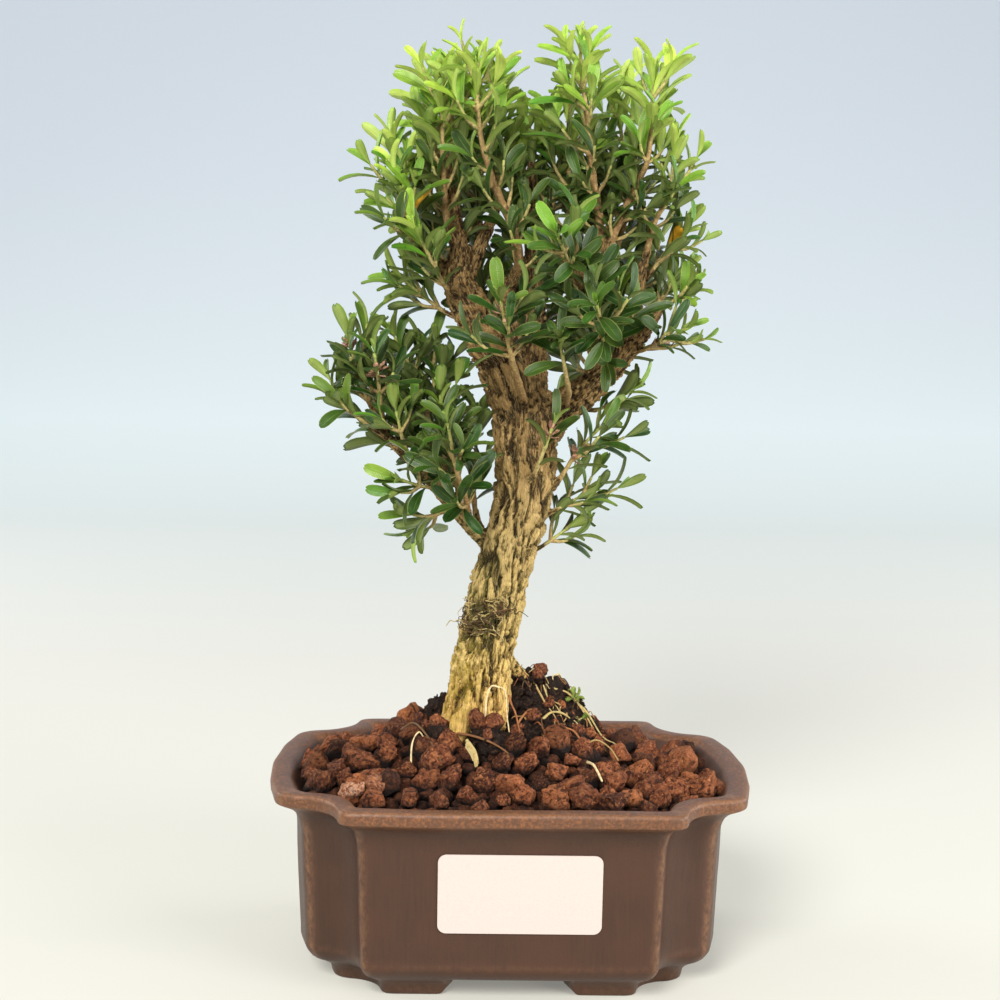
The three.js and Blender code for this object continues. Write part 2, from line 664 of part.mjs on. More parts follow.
// Ridged trunk; grow widens it for the hole that it stands in
function trunkColumn(grow) {
  const rings = TRUNK.map(([x, y, z, halfX, halfY]) => {
    const ring = [];
    for (let i = 0; i < TRUNK_SIDES; i += 1) {
      const angle = (2 * Math.PI * i) / TRUNK_SIDES + RIDGE_TWIST * (z - TRUNK[0][2]);
      const ridge = grow > 0 ? 1 + RIDGE_DEPTH : 1 + (i % 2 === 0 ? RIDGE_DEPTH : -RIDGE_DEPTH);
      ring.push(new THREE.Vector3(
        x + (halfX * ridge + grow) * Math.cos(angle),
        y + (halfY * ridge + grow) * Math.sin(angle),
        z - (z === TRUNK[0][2] ? grow : 0),
      ));
    }
    return ring;
  });
  const first = TRUNK[0];
  const last = TRUNK[TRUNK.length - 1];
  return solid(loft(
    rings,
    new THREE.Vector3(first[0], first[1], first[2] - grow),
    new THREE.Vector3(last[0], last[1], last[2]),
  ));
}

function limbLine(points) {
  const line = smoothLine(points, 4);
  const total = line[line.length - 1].length;
  const stations = points.map((_, i) => line[i * 4].length);
  const radiusAt = (distance) => {
    let i = 1;
    while (i < points.length - 1 && stations[i] < distance) {
      i += 1;
    }
    const share = (distance - stations[i - 1]) / (stations[i] - stations[i - 1]);
    return points[i - 1][3] + (points[i][3] - points[i - 1][3]) * Math.min(Math.max(share, 0), 1);
  };
  return { line, total, radiusAt };
}

const limbs = LIMBS.map(limbLine);
const trunkLine = limbLine(TRUNK.map(([x, y, z, halfX]) => [x, y, z, halfX]));

// True where a place lies within a margin of the wood's surface
function inWood(place, margin) {
  return [...limbs, trunkLine].some(({ line, radiusAt }) =>
    line.some((point) => point.place.distanceTo(place) < radiusAt(point.length) + margin));
}

// Distances along a shoot between which it is a bare stub, from inside the wood to clear of it
function stubReach(line) {
  const total = line[line.length - 1].length;
  let root = 0;
  let end = STUB_STEP;
  while (end < total * 0.6 && inWood(walk(line, end).place, STUB_REACH)) {
    if (inWood(walk(line, end).place, -STUB_DEPTH)) {
      root = Math.max(end - STUB_SINK, 0);
    }
    end += STUB_STEP;
  }
  return { root, end };
}

// Turn that sets the flats of a square stem towards its leaves
function cornerTurn(leafTurn) {
  return THREE.MathUtils.degToRad(leafTurn + 45);
}

const shootList = Object.entries(SHOOTS).flatMap(([zone, list]) =>
  list.map((points, i) => ({ points, name: `shoot_${zone}_${String(i + 1).padStart(2, "0")}` })));

const shoots = shootList.map(({ points, name }, index) => {
  const line = smoothLine(points, 6);
  const total = line[line.length - 1].length;
  const radiusAt = (distance) => STEM_TIP_RADIUS + STEM_GROWTH * (total - distance);
  const { root, end: stub } = stubReach(line);
  return { name, line, total, radiusAt, root, stub, turn: spread(0, 360, index, 20) };
});

function trunk() {
  const parts = [trunkColumn(0)];
  for (const { line, total, radiusAt } of limbs) {
    parts.push(bar(line, 0, total, radiusAt, LIMB_SIDES, LIMB_STEP, 0));
  }
  for (const { line, root, stub, radiusAt, turn } of shoots) {
    parts.push(bar(line, root, stub, radiusAt, SHOOT_SIDES, STEM_STEP, cornerTurn(turn)));
  }
  return wasm.Manifold.union(parts);
}

// One blade: a keeled, gently arched wedge that starts as a point on the stem's middle line
function blade(root, out, up, length, width, clearance) {
  const across = out.clone().cross(up).normalize();
  const at = (share, side, lift) => root.clone()
    .addScaledVector(out, length * share)
    .addScaledVector(across, side)
    .addScaledVector(up, length * LEAF_ARCH * Math.sin(Math.PI * share) + lift);
  const half = width / 2;
  const points = [
    at(0, 0, 0),
    at(LEAF_WAIST, half * LEAF_WAIST_WIDTH + clearance, clearance),
    at(LEAF_WAIST, -half * LEAF_WAIST_WIDTH - clearance, clearance),
    at(LEAF_WAIST, 0, -LEAF_KEEL - clearance),
    at(LEAF_SHOULDER, half * LEAF_SHOULDER_WIDTH + clearance, clearance),
    at(LEAF_SHOULDER, -half * LEAF_SHOULDER_WIDTH - clearance, clearance),
    at(1 + clearance / length, 0, 0),
  ];
  const faces = [
    [0, 1, 2], [0, 3, 1], [0, 2, 3],
    [1, 4, 2], [2, 4, 5], [4, 6, 5],
    [3, 4, 1], [3, 6, 4], [3, 5, 6], [3, 2, 5],
  ];
  return solid(indexed(points, faces));
}

// Leaf places of a shoot, from the tip down
function leafPlaces(shoot, shootIndex) {
  const places = [];
  const leafy = Math.max(shoot.total - shoot.stub - 3, 1) * (1 - BARE_SHARE);
  const pairs = Math.max(2, Math.floor(leafy / PAIR_SPACING) + 1);
  for (let pair = 0; pair < pairs; pair += 1) {
    const distance = shoot.total - 0.8 - pair * PAIR_SPACING;
    if (distance < shoot.stub + 2) {
      break;
    }
    const age = Math.min(pair / 4, 1);
    for (let side = 0; side < 2; side += 1) {
      places.push({
        distance,
        turn: shoot.turn + pair * 90 + side * 180 + spread(-12, 12, shootIndex, pair, side, 21),
        rise: TIP_ANGLE + (BASE_ANGLE - TIP_ANGLE) * age + spread(-7, 7, shootIndex, pair, side, 22),
        scale: (pair === 0 ? 0.72 : 1) * spread(0.86, 1.12, shootIndex, pair, side, 23),
      });
    }
  }
  return places;
}

function placeBlade(shoot, leaf, change, clearance) {
  const frame = walk(shoot.line, leaf.distance);
  const turn = THREE.MathUtils.degToRad(leaf.turn + change[0]);
  const rise = THREE.MathUtils.degToRad(leaf.rise + change[1]);
  const scale = leaf.scale * change[2];
  const away = frame.side.clone().multiplyScalar(Math.cos(turn)).addScaledVector(frame.other, Math.sin(turn));
  const out = frame.along.clone().multiplyScalar(Math.cos(rise)).addScaledVector(away, Math.sin(rise));
  const up = frame.along.clone().multiplyScalar(Math.sin(rise)).addScaledVector(away, -Math.cos(rise));
  return blade(frame.place, out, up, LEAF_LENGTH * scale, LEAF_WIDTH * scale, clearance);
}

function boxesMeet(a, b) {
  return [0, 1, 2].every((axis) => a.min[axis] <= b.max[axis] && b.min[axis] <= a.max[axis]);
}

function touches(candidate, others) {
  const box = candidate.boundingBox();
  return others.some((other) =>
    boxesMeet(box, other.box) && candidate.intersect(other.body).volume() > 1e-6);
}

// Stems of all shoots, then their blades, each kept only where it is clear of every other piece
function leafyShoots(fixed) {
  const stems = shoots.map((shoot) =>
    bar(shoot.line, shoot.stub + GAP, shoot.total, shoot.radiusAt, SHOOT_SIDES, STEM_STEP, cornerTurn(shoot.turn)));
  const held = stems.map((body, owner) => ({ owner, body, box: body.boundingBox() }));
  for (const body of fixed) {
    held.push({ owner: -1, body, box: body.boundingBox() });
  }
  return shoots.map((shoot, index) => {
    const parts = [stems[index]];
    for (const leaf of leafPlaces(shoot, index)) {
      const others = held.filter(({ owner }) => owner !== index);
      const change = LEAF_TRIES.find((attempt) =>
        !touches(placeBlade(shoot, leaf, attempt, LEAF_CLEARANCE), others));
      if (change) {
        const body = placeBlade(shoot, leaf, change, 0);
        parts.push(body);
        held.push({ owner: index, body, box: body.boundingBox() });
      }
    }
    return { name: shoot.name, body: wasm.Manifold.union(parts) };
  });
}

const trunkBody = trunk();
const trunkHole = trunkColumn(GAP + 0.2);
const soilBody = soil(trunkHole);
const gritBody = grit(trunkHole);
const potBody = pot();

const tree = new THREE.Group();

function addPiece(name, manifold, look) {
  const mesh = new THREE.Mesh(geometryOf(manifold), new THREE.MeshStandardMaterial(look));
  mesh.name = name;
  tree.add(mesh);
}

addPiece("pot", potBody, COLOURS.pot);
addPiece("label", label(), COLOURS.label);
addPiece("drain_mesh_left", drainMesh(-DRAIN_HOLE_X), COLOURS.mesh);
addPiece("drain_mesh_right", drainMesh(DRAIN_HOLE_X), COLOURS.mesh);
addPiece("root_ball", soilBody, COLOURS.peat);
addPiece("grit", gritBody, COLOURS.grit);
addPiece("trunk", trunkBody, COLOURS.bark);
for (const { name, body } of leafyShoots([trunkBody, gritBody, soilBody])) {
  addPiece(name, body, COLOURS.leaf);
}

const box = new THREE.Box3().setFromObject(tree);
tree.position.set(-(box.min.x + box.max.x) / 2, -(box.min.y + box.max.y) / 2, -box.min.z);

export default tree;
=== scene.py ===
"""A boxwood bonsai in its lobed stoneware pot, dressed for rendering. Lengths are in millimetres and become
metres where a mesh is made; only the stage is laid out in metres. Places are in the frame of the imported
model: +Z up, -Y towards the viewer."""

import json
import math

import bpy
import numpy as np
from mathutils import Matrix

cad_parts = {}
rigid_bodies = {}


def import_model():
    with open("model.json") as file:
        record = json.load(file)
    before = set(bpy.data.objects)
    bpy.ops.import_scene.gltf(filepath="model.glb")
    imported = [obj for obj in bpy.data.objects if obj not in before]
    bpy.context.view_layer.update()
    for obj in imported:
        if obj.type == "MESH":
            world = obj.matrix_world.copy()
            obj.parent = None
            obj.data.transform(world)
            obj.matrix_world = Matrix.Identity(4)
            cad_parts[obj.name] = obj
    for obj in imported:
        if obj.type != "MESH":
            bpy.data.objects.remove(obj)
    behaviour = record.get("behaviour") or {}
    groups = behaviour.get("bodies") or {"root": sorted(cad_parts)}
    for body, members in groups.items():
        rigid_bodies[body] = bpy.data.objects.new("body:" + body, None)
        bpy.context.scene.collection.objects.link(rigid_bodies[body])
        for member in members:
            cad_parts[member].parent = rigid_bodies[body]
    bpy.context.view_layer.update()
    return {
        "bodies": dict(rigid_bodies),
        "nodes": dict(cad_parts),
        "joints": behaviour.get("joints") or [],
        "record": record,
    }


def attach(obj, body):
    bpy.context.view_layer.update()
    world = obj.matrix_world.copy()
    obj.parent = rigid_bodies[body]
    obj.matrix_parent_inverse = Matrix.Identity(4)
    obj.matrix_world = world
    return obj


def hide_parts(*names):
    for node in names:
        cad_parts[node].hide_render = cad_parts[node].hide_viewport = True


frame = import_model()

MM = 0.001

# Camera, fitted to the photograph, which is taken as 1000 x 1000 pixels
FRAME_PIXELS = 1000
SENSOR_WIDTH = 36
FOCAL_PIXELS = 1757.16
CAMERA_PLACE = (-19.29, -651.78, 255.17)
CAMERA_TURN = -1.23
CAMERA_PITCH = 7.06
CAMERA_ROLL = 1.01
CAMERA_CLIP = (0.05, 30)

# Pot
POT_HALF_WIDTH = 90
POT_HALF_DEPTH = 67
POT_HEIGHT = 74
FOOT_HEIGHT = 7
FLOOR_TOP = 13
FRONT_EDGE_HALF = 57
# The bowed short side: distance in from the half width, and y
SIDE_BOW = ((0, 0), (1.6, 24), (5.6, 42))
NOTCH_RADIUS = 18.5
NOTCH_CENTRE = (79.5, 64.5)
# Corners where a notch meets a side, and how far round them the clay is rubbed
CUSPS = ((82.5, 43.5), (60.2, 65.6))
CUSP_REACH = 2.3
OUTLINE_STEP = 1.6
OUTLINE_SOFTENING = 3
# Inset from the outline over the lip, and height
WALL_FOOT = (11.3, 16)
WALL_TOP = (9.7, 58)
INNER_TOP = (14, 65)
# Inset of the opening inside the lip
LIP_INSET = 8.6
FOOT_INSET = 22
FOOT_THICKNESS = 10
FOOT_FRONT_END = 20
FOOT_SIDE_END = 18
FOOT_END_HOLLOW = 5.5
DRAIN_HOLE_RADIUS = 8
DRAIN_HOLE_X = 34
HOLE_SIDES = 32
MESH_SIDE = 26
MESH_CELLS = 8
MESH_BAR = 0.9
BAR_PLACES = 9
BAR_SIDES = 8
LABEL = {"left": -26, "right": 32, "bottom": 27.5, "top": 56.5, "corner": 3, "thickness": 0.4}
LABEL_CORNER_STEPS = 8
# Rings of the sheet from back to front: share of its size, and share of its thickness
LABEL_RINGS = ((1, 0), (1, 0.6), (0.995, 1), (0.6, 1), (0.25, 1))
# Gap between a loose piece and what it lies on
GAP = 0.3

# Soil
BED_LEVEL = 64.5
# Mounds: x, y, height, and how far they spread across X and Y
MOUNDS = ((-14, 0, 24, 30, 23), (14, 17, 21, 15, 13))
# Where the peat lies bare: middle x and y, and half widths
PEAT_PATCH = (6, 10, 31, 20)
CAVITY_CLEARANCE = 0.45

# Trunk stations: x, y, z of the middle, half width across X, half depth across Y
TRUNK = (
    (-20, -5, 54, 8, 7), (-17.5, -5, 74, 11.2, 10.6), (-15.6, -5, 86, 12.2, 11.6),
    (-13.5, -4, 96, 12.2, 11.6), (-11.5, -1, 110, 11.3, 10.6), (-8.9, 1, 122, 10.3, 9.8),
    (-6.4, 2, 135, 10.3, 9.6), (-3.8, 3, 148, 10.5, 9.6), (0, 4.5, 162, 10.4, 9.6),
    (3.7, 5, 176, 10.1, 9.6), (4, 6, 191, 10.9, 10), (4.5, 6, 203, 12.4, 10.6),
    (5, 6, 212, 10, 8), (4, 6, 217, 5, 4),
)

# Limbs: each point is x, y, z and radius
LIMBS = (
    (
        (3, 5, 196, 8), (-4, 4, 223, 8.8), (-11, 2, 234, 7.8), (-17, 1, 245, 6.8),
        (-22, 0, 256, 5.6), (-21, 0, 268, 3.8),
    ),
    ((-20, 1, 250, 3.6), (-29, 1, 260, 3), (-36, 0, 267, 2.4), (-40, 0, 274, 1.9)),
    ((-21, 0, 264, 3), (-24, 2, 282, 2.2), (-27, 3, 296, 1.7)),
    ((-20, 1, 254, 3), (-13, 4, 271, 2.3), (-8, 5, 283, 1.8)),
    ((3, 5, 202, 6.5), (-1, 4, 228, 5), (-5, 3, 245, 3.8), (-3, 0, 256, 2.6)),
    ((6, 7, 204, 6), (7, 7, 243, 3.6), (5, 5, 265, 2.8), (4, 3, 281, 2), (4, 2, 299, 1.3)),
    ((7, 6, 198, 8), (16, 6, 207, 7), (28, 5, 217, 5.4), (42, 3, 232, 4), (52, 2, 246, 2.4)),
    ((25, 5, 214, 4), (31, 5, 224, 3.6), (29, 1, 244, 3), (30, -2, 266, 2.2)),
    ((40, 3, 230, 3.2), (44, 2, 248, 2.5), (46, 0, 263, 1.9)),
    (
        (-2, 4, 153, 3.4), (-11, 4, 159, 3.2), (-22, 2, 171, 2.8), (-32, 0, 182, 2.4),
        (-39, 0, 189, 2.1), (-46, 0, 196, 1.8), (-52, 0, 205, 1.5),
    ),
)

# Shoots by place: each starts on the middle line of the limb that carries it and ends at its tip
SHOOTS = {
    "crown_left": (
        ((-22, 0, 265), (-26, -3, 275), (-28, -6, 295), (-29, -9, 326)),
        ((-26, 3, 292), (-26, 1, 306), (-24, -2, 331)),
        (
            (-3, 0, 254), (0, -7, 263), (-3, -12, 275), (-10, -15, 291), (-14, -17, 303),
            (-16, -19, 317), (-16, -20, 332),
        ),
        ((-9, 5, 280), (-8, 8, 295), (-11, 14, 331)),
        ((-24, 2, 281), (-30, 6, 296), (-34, 8, 324)),
        ((-39, 0, 272), (-43, 0, 284), (-46, 0, 304)),
        ((-33, 0.5, 264), (-38, -7, 273), (-45, -12, 293)),
        ((-17, 1, 245), (-27, -9, 254), (-37, -17, 273)),
        ((-13, 2, 238), (-27, 4, 244), (-42, 6, 255)),
        ((5, 5, 266), (2, 10, 282), (1, 16, 311)),
        ((-21, 1, 260), (-24, 13, 274), (-29, 20, 303)),
        ((-14, 4, 270), (-15, 17, 286), (-18, 25, 314)),
    ),
    "crown_right": (
        ((30, -2, 264), (29, -5, 279), (26, -9, 294), (24, -12, 310), (21, -14, 327), (20, -15, 340)),
        ((29, 0, 250), (22, 2, 264), (19, 2, 280), (17, 1, 320)),
        ((5, 4.5, 270), (12, 8, 282), (13, 10, 294), (10, 13, 312)),
        ((29.5, -0.5, 255), (36, 5, 268), (40, 8, 288), (36, 14, 323)),
        ((30, -2, 261), (36, -5, 277), (42, -6, 291), (46, -8, 302), (47, -9, 330)),
        ((46, 0, 261), (49, -4, 277), (54, -5, 288), (56, -5, 305)),
        ((45, 1, 254), (53, 5, 265), (61, 7, 276)),
        ((48, 2.5, 241), (54, 9, 250), (63, 14, 261)),
        ((51, 2, 244), (57, 1, 249), (65, 0, 254)),
        ((38, 3.5, 228), (50, -4, 233), (62, -8, 240)),
        ((20, 6, 210), (31, 10, 208), (43, 11, 215)),
    ),
    "front": (
        ((29.5, 2, 238), (25, -12, 249), (18, -30, 260), (12, -44, 271)),
        ((30, 4, 229), (31, -9, 232), (29, -26, 239), (26, -42, 248)),
        ((38, 3.5, 228), (37, -7, 238), (36, -13, 253)),
        ((4, 4, 208), (2, -11, 215), (-1, -22, 224), (-4, -31, 234), (-7, -39, 249)),
        ((16, 6, 207), (19, -8, 214), (17, -21, 223), (14, -34, 235)),
    ),
    "low_left": (
        ((-51, 0, 203.5), (-57, 0, 216), (-62, 0, 233)),
        ((-46, 0, 196), (-56, -3, 203), (-67, -5, 212)),
        ((-49, 0, 201), (-50, -6, 212), (-52, -12, 229)),
        ((-33, 0, 183), (-32, 5, 198), (-36, 10, 214), (-45, 15, 234)),
        ((-26, 1, 175.5), (-27, 6, 192), (-30, 12, 210), (-32, 18, 229)),
        ((-16, 3, 164), (-18, -7, 175), (-22, -16, 188), (-25, -25, 205)),
        ((-20, 2.5, 169), (-22, -1, 184), (-27, -3, 198), (-28, -4, 214)),
        ((-37, 0, 187), (-41, -6, 195), (-44, -10, 208)),
        ((-40, 0, 190), (-46, 7, 193), (-54, 11, 199)),
        ((-29, 1, 179), (-34, -8, 180), (-42, -13, 183)),
        ((-22, 2, 171), (-29, 4, 168), (-36, 5, 163)),
        ((-11, 4, 159), (-15, 8, 174), (-14, 11, 204)),
    ),
    "trunk_right": (
        ((2, 5, 169), (14, 2, 179), (19, 0, 186), (23, -1, 193), (31, -2, 202)),
        ((1, 5, 163), (14, 7, 169), (27, 9, 176)),
        ((-3, 4, 150), (9, 6, 155), (21, 9, 163)),
        ((3, 5, 178), (7, -8, 185), (13, -15, 203)),
    ),
    "back": (
        ((-11, 2, 234), (-11, 16, 243), (-15, 32, 260)),
        ((6, 7, 218), (6, 21, 231), (8, 39, 248)),
        ((26, 5, 215), (29, 20, 226), (33, 36, 244)),
        ((42, 3, 232), (45, 16, 243), (50, 29, 260)),
        ((-22, 0, 255), (-27, 13, 262), (-36, 27, 279)),
        ((7, 7, 240), (7, 20, 255), (4, 32, 282)),
        ((29, 1, 244), (32, 14, 258), (30, 27, 286)),
        ((-43, 0, 193), (-46, 13, 204), (-50, 21, 218)),
        ((4, 6, 182), (4, 20, 190), (6, 33, 205)),
    ),
}
# Stub of a shoot: clearance from the wood at its end, depth that counts as inside, sink, and search step
STUB_REACH = 3.2
STUB_DEPTH = 1.2
STUB_SINK = 2
STUB_STEP = 0.5
# Share of a shoot that may be stub at most, and how much thicker than the stem the stub is
STUB_SHARE = 0.6
STUB_MORE = 0.25

# Leaves
LEAF_LENGTH = 16.8
LEAF_WIDTH = 5.3
LEAF_ARCH = 0.09
LEAF_KEEL = 0.95
LEAF_THICKNESS = 0.26
PAIR_SPACING = 7.6
# Angle between a leaf and its stem, at the tip and at the base of a shoot
TIP_ANGLE = 33
BASE_ANGLE = 68
TIP_SCALE = 0.88
# Share of the length and of the half width down a blade, from stalk to tip
LEAF_ROWS = (
    (0, 0.13), (0.08, 0.17), (0.2, 0.44), (0.35, 0.72), (0.51, 0.92), (0.68, 1), (0.82, 0.94),
    (0.93, 0.72), (1, 0.28),
)
LEAF_COLUMNS = (-1, -0.5, 0, 0.5, 1)
LEAF_NOTCH = 0.03
# Heights and the crown's reach to the right at each
CROWN_REACH = ((200, 232, 262), (50, 58, 67))
# Top of the crown left and right of the middle
CROWN_TOPS = (337, 346)


# Repeatable numbers

def draw(*keys):
    """Number from 0 to 1 for a list of whole-number keys."""
    value = 374761393
    for key in keys:
        value = ((value ^ (key + 1)) * 668265263) & 0xFFFFFFFF
        value ^= value >> 15
        value = (value * 2246822519) & 0xFFFFFFFF
        value ^= value >> 13
    return value / 4294967296


def spread(low, high, *keys):
    return low + (high - low) * draw(*keys)


def lattice(ix, iy, iz, seed):
    value = ix * np.uint64(374761393) + iy * np.uint64(668265263) + iz * np.uint64(2147483647)
    value = (value + np.uint64(seed * 1274126177 % 4294967296)) & np.uint64(0xFFFFFFFF)
    value = ((value ^ (value >> np.uint64(13))) * np.uint64(1274126177)) & np.uint64(0xFFFFFFFF)
    value = ((value ^ (value >> np.uint64(15))) * np.uint64(2246822519)) & np.uint64(0xFFFFFFFF)
    return (value ^ (value >> np.uint64(16))).astype(float) / 2147483648 - 1


def noise(places, seed=0):
    """Smooth noise from about -1 to 1 at each row of places, with one bump to a unit."""
    cell = np.floor(places)
    share = places - cell
    smooth = share ** 3 * (share * (share * 6 - 15) + 10)
    base = (cell.astype(np.int64) + 100000).astype(np.uint64)
    total = np.zeros(len(places))
    for corner in range(8):
        step = [(corner >> axis) & 1 for axis in range(3)]
        weight = np.ones(len(places))
        for axis in range(3):
            weight *= smooth[:, axis] if step[axis] else 1 - smooth[:, axis]
        index = [base[:, axis] + np.uint64(step[axis]) for axis in range(3)]
        total += weight * lattice(*index, seed)
    return total * 1.25


def layered_noise(places, octaves, seed=0):
    total = np.zeros(len(places))
    size = 1.0
    for octave in range(octaves):
        total += noise(places / size, seed + 17 * octave) * size
        size *= 0.5
    return total / (2 - size * 2)


def ease(low, high, values):
    """Smooth step from 0 at low to 1 at high."""
    share = np.clip((values - low) / (high - low), 0, 1)
    return share * share * (3 - 2 * share)


def unit(vector):
    return vector / np.linalg.norm(vector)


def units(vectors):
    return vectors / np.maximum(np.linalg.norm(vectors, axis=-1, keepdims=True), 1e-9)


# Meshes

class Shape:
    """Patches of surface gathered in millimetres and made into one Blender mesh."""

    def __init__(self):
        self.points = []
        self.faces = []
        self.slots = []
        self.layers = {}
        self.total = 0

    def add(self, points, faces, slot=0, **layers):
        for group in faces:
            group = np.asarray(group, int)
            if len(group):
                self.faces.append(group + self.total)
                self.slots.append(np.full(len(group), slot))
        for name, values in layers.items():
            values = np.asarray(values, float)
            width = 3 if values.ndim == 2 or values.shape == (3,) else 1
            whole = np.broadcast_to(values.reshape(-1, width), (len(points), width))
            self.layers.setdefault(name, []).append((self.total, whole))
        self.points.append(np.asarray(points, float))
        self.total += len(points)

    def add_rings(self, rings, ends, **layers):
        """Closed skin through rings of points, shut by a fan to a point before them and one after."""
        rows, count = len(rings), len(rings[0])
        faces = [
            grid_faces(rows, count, closed=True), fan_faces(np.arange(count), rows * count, turned=True),
            fan_faces(np.arange((rows - 1) * count, rows * count), rows * count + 1),
        ]
        self.add(np.vstack([*rings, *ends]), faces, **layers)

    def build(self, name, materials, replaced=(), sharp=None):
        mesh = bpy.data.meshes.new(name)
        points = np.concatenate(self.points) * MM
        mesh.vertices.add(len(points))
        mesh.vertices.foreach_set("co", points.ravel())
        sizes = np.concatenate([np.full(len(group), group.shape[1]) for group in self.faces])
        corners = np.concatenate([group.ravel() for group in self.faces])
        mesh.loops.add(len(corners))
        mesh.loops.foreach_set("vertex_index", corners)
        mesh.polygons.add(len(sizes))
        mesh.polygons.foreach_set("loop_start", np.concatenate([[0], np.cumsum(sizes)[:-1]]))
        mesh.polygons.foreach_set("material_index", np.concatenate(self.slots))
        mesh.update(calc_edges=True)
        mesh.polygons.foreach_set("use_smooth", np.ones(len(sizes), bool))
        for layer, parts in self.layers.items():
            width = parts[0][1].shape[1]
            values = np.zeros((len(points), width))
            for start, part in parts:
                values[start:start + len(part)] = part
            set_layer(mesh, layer, values)
        if sharp is not None:
            mesh.set_sharp_from_angle(angle=math.radians(sharp))
        return place_mesh(name, mesh, materials, replaced)


def set_layer(mesh, name, values):
    """Gives each point of a mesh a number or a vector for its material."""
    kind, field = ("FLOAT_VECTOR", "vector") if values.size > len(values) else ("FLOAT", "value")
    attribute = mesh.attributes.new(name, kind, "POINT")
    attribute.data.foreach_set(field, values.astype(np.float32).ravel())


def place_mesh(name, mesh, materials, replaced=()):
    """Puts a finished mesh in the scene as a piece of the object."""
    mesh.validate()
    for material in materials:
        mesh.materials.append(material)
    piece = bpy.data.objects.new(name, mesh)
    bpy.context.scene.collection.objects.link(piece)
    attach(piece, "root")
    if replaced:
        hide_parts(*replaced)
    return piece


def grid_faces(rows, columns, closed=False):
    """Quads of a grid of points stored row by row; closed joins the last column to the first."""
    last = columns if closed else columns - 1
    row, column = np.meshgrid(np.arange(rows - 1), np.arange(last), indexing="ij")
    right = (column + 1) % columns
    here, above = row * columns, (row + 1) * columns
    return np.stack([here + column, here + right, above + right, above + column], axis=-1).reshape(-1, 4)


def fan_faces(ring, middle, turned=False):
    """Triangles from each edge of a ring to a middle point."""
    following = np.roll(ring, -1)
    ends = [following, ring] if turned else [ring, following]
    return np.stack([np.full(len(ring), middle), *ends], axis=-1)


def smooth_line(points, steps):
    """Catmull-Rom line: places, directions, sides that turn as little as they can, and running length."""
    points = np.asarray(points, float)[:, :3]
    padded = np.vstack([2 * points[0] - points[1], points, 2 * points[-1] - points[-2]])
    places = []
    count = (len(points) - 1) * steps
    for step in range(count + 1):
        span = min(step // steps, len(points) - 2)
        t = step / steps - span
        a, b, c, d = padded[span:span + 4]
        start, end = 0.5 * (c - a), 0.5 * (d - b)
        places.append(
            (2 * t ** 3 - 3 * t ** 2 + 1) * b + (t ** 3 - 2 * t ** 2 + t) * start
            + (3 * t ** 2 - 2 * t ** 3) * c + (t ** 3 - t ** 2) * end
        )
    return framed_line(np.array(places))


def framed_line(places):
    index = np.arange(len(places))
    along = units(places[np.minimum(index + 1, index[-1])] - places[np.maximum(index - 1, 0)])
    helper = np.array([0, 1, 0]) if abs(along[0][1]) < 0.9 else np.array([1, 0, 0])
    sides = [unit(np.cross(along[0], helper))]
    for direction in along[1:]:
        sides.append(unit(sides[-1] - direction * np.dot(sides[-1], direction)))
    length = np.concatenate([[0], np.cumsum(np.linalg.norm(np.diff(places, axis=0), axis=1))])
    return {"place": places, "along": along, "side": np.array(sides), "length": length}


def walk(line, distance):
    """Place and frame at a distance along a line."""
    length = line["length"]
    i = min(max(int(np.searchsorted(length, distance)), 1), len(length) - 1)
    share = (distance - length[i - 1]) / (length[i] - length[i - 1])

    def mix(name):
        return line[name][i - 1] * (1 - share) + line[name][i] * share

    along = unit(mix("along"))
    side = mix("side")
    side = unit(side - along * np.dot(side, along))
    return mix("place"), along, side, np.cross(along, side)


# Rise of a bar's ends, as shares of its radius there
TIP_DOME = 0.6
START_DOME = 0.4


def tube(line, radii, sides):
    """Points and faces of a round bar along a framed line, with domed ends."""
    place, along, side = line["place"], line["along"], line["side"]
    other = np.cross(along, side)
    angle = np.arange(sides) * 2 * math.pi / sides
    radii = np.asarray(radii, float)
    ring = side[:, None] * np.cos(angle)[None, :, None] + other[:, None] * np.sin(angle)[None, :, None]
    points = (place[:, None] + ring * radii[:, None, None]).reshape(-1, 3)
    tip = place[-1] + along[-1] * radii[-1] * TIP_DOME
    start = place[0] - along[0] * radii[0] * START_DOME
    count = len(points)
    return np.vstack([points, tip, start]), [
        grid_faces(len(place), sides, closed=True), fan_faces(np.arange(count - sides, count), count),
        fan_faces(np.arange(sides), count + 1, turned=True),
    ]


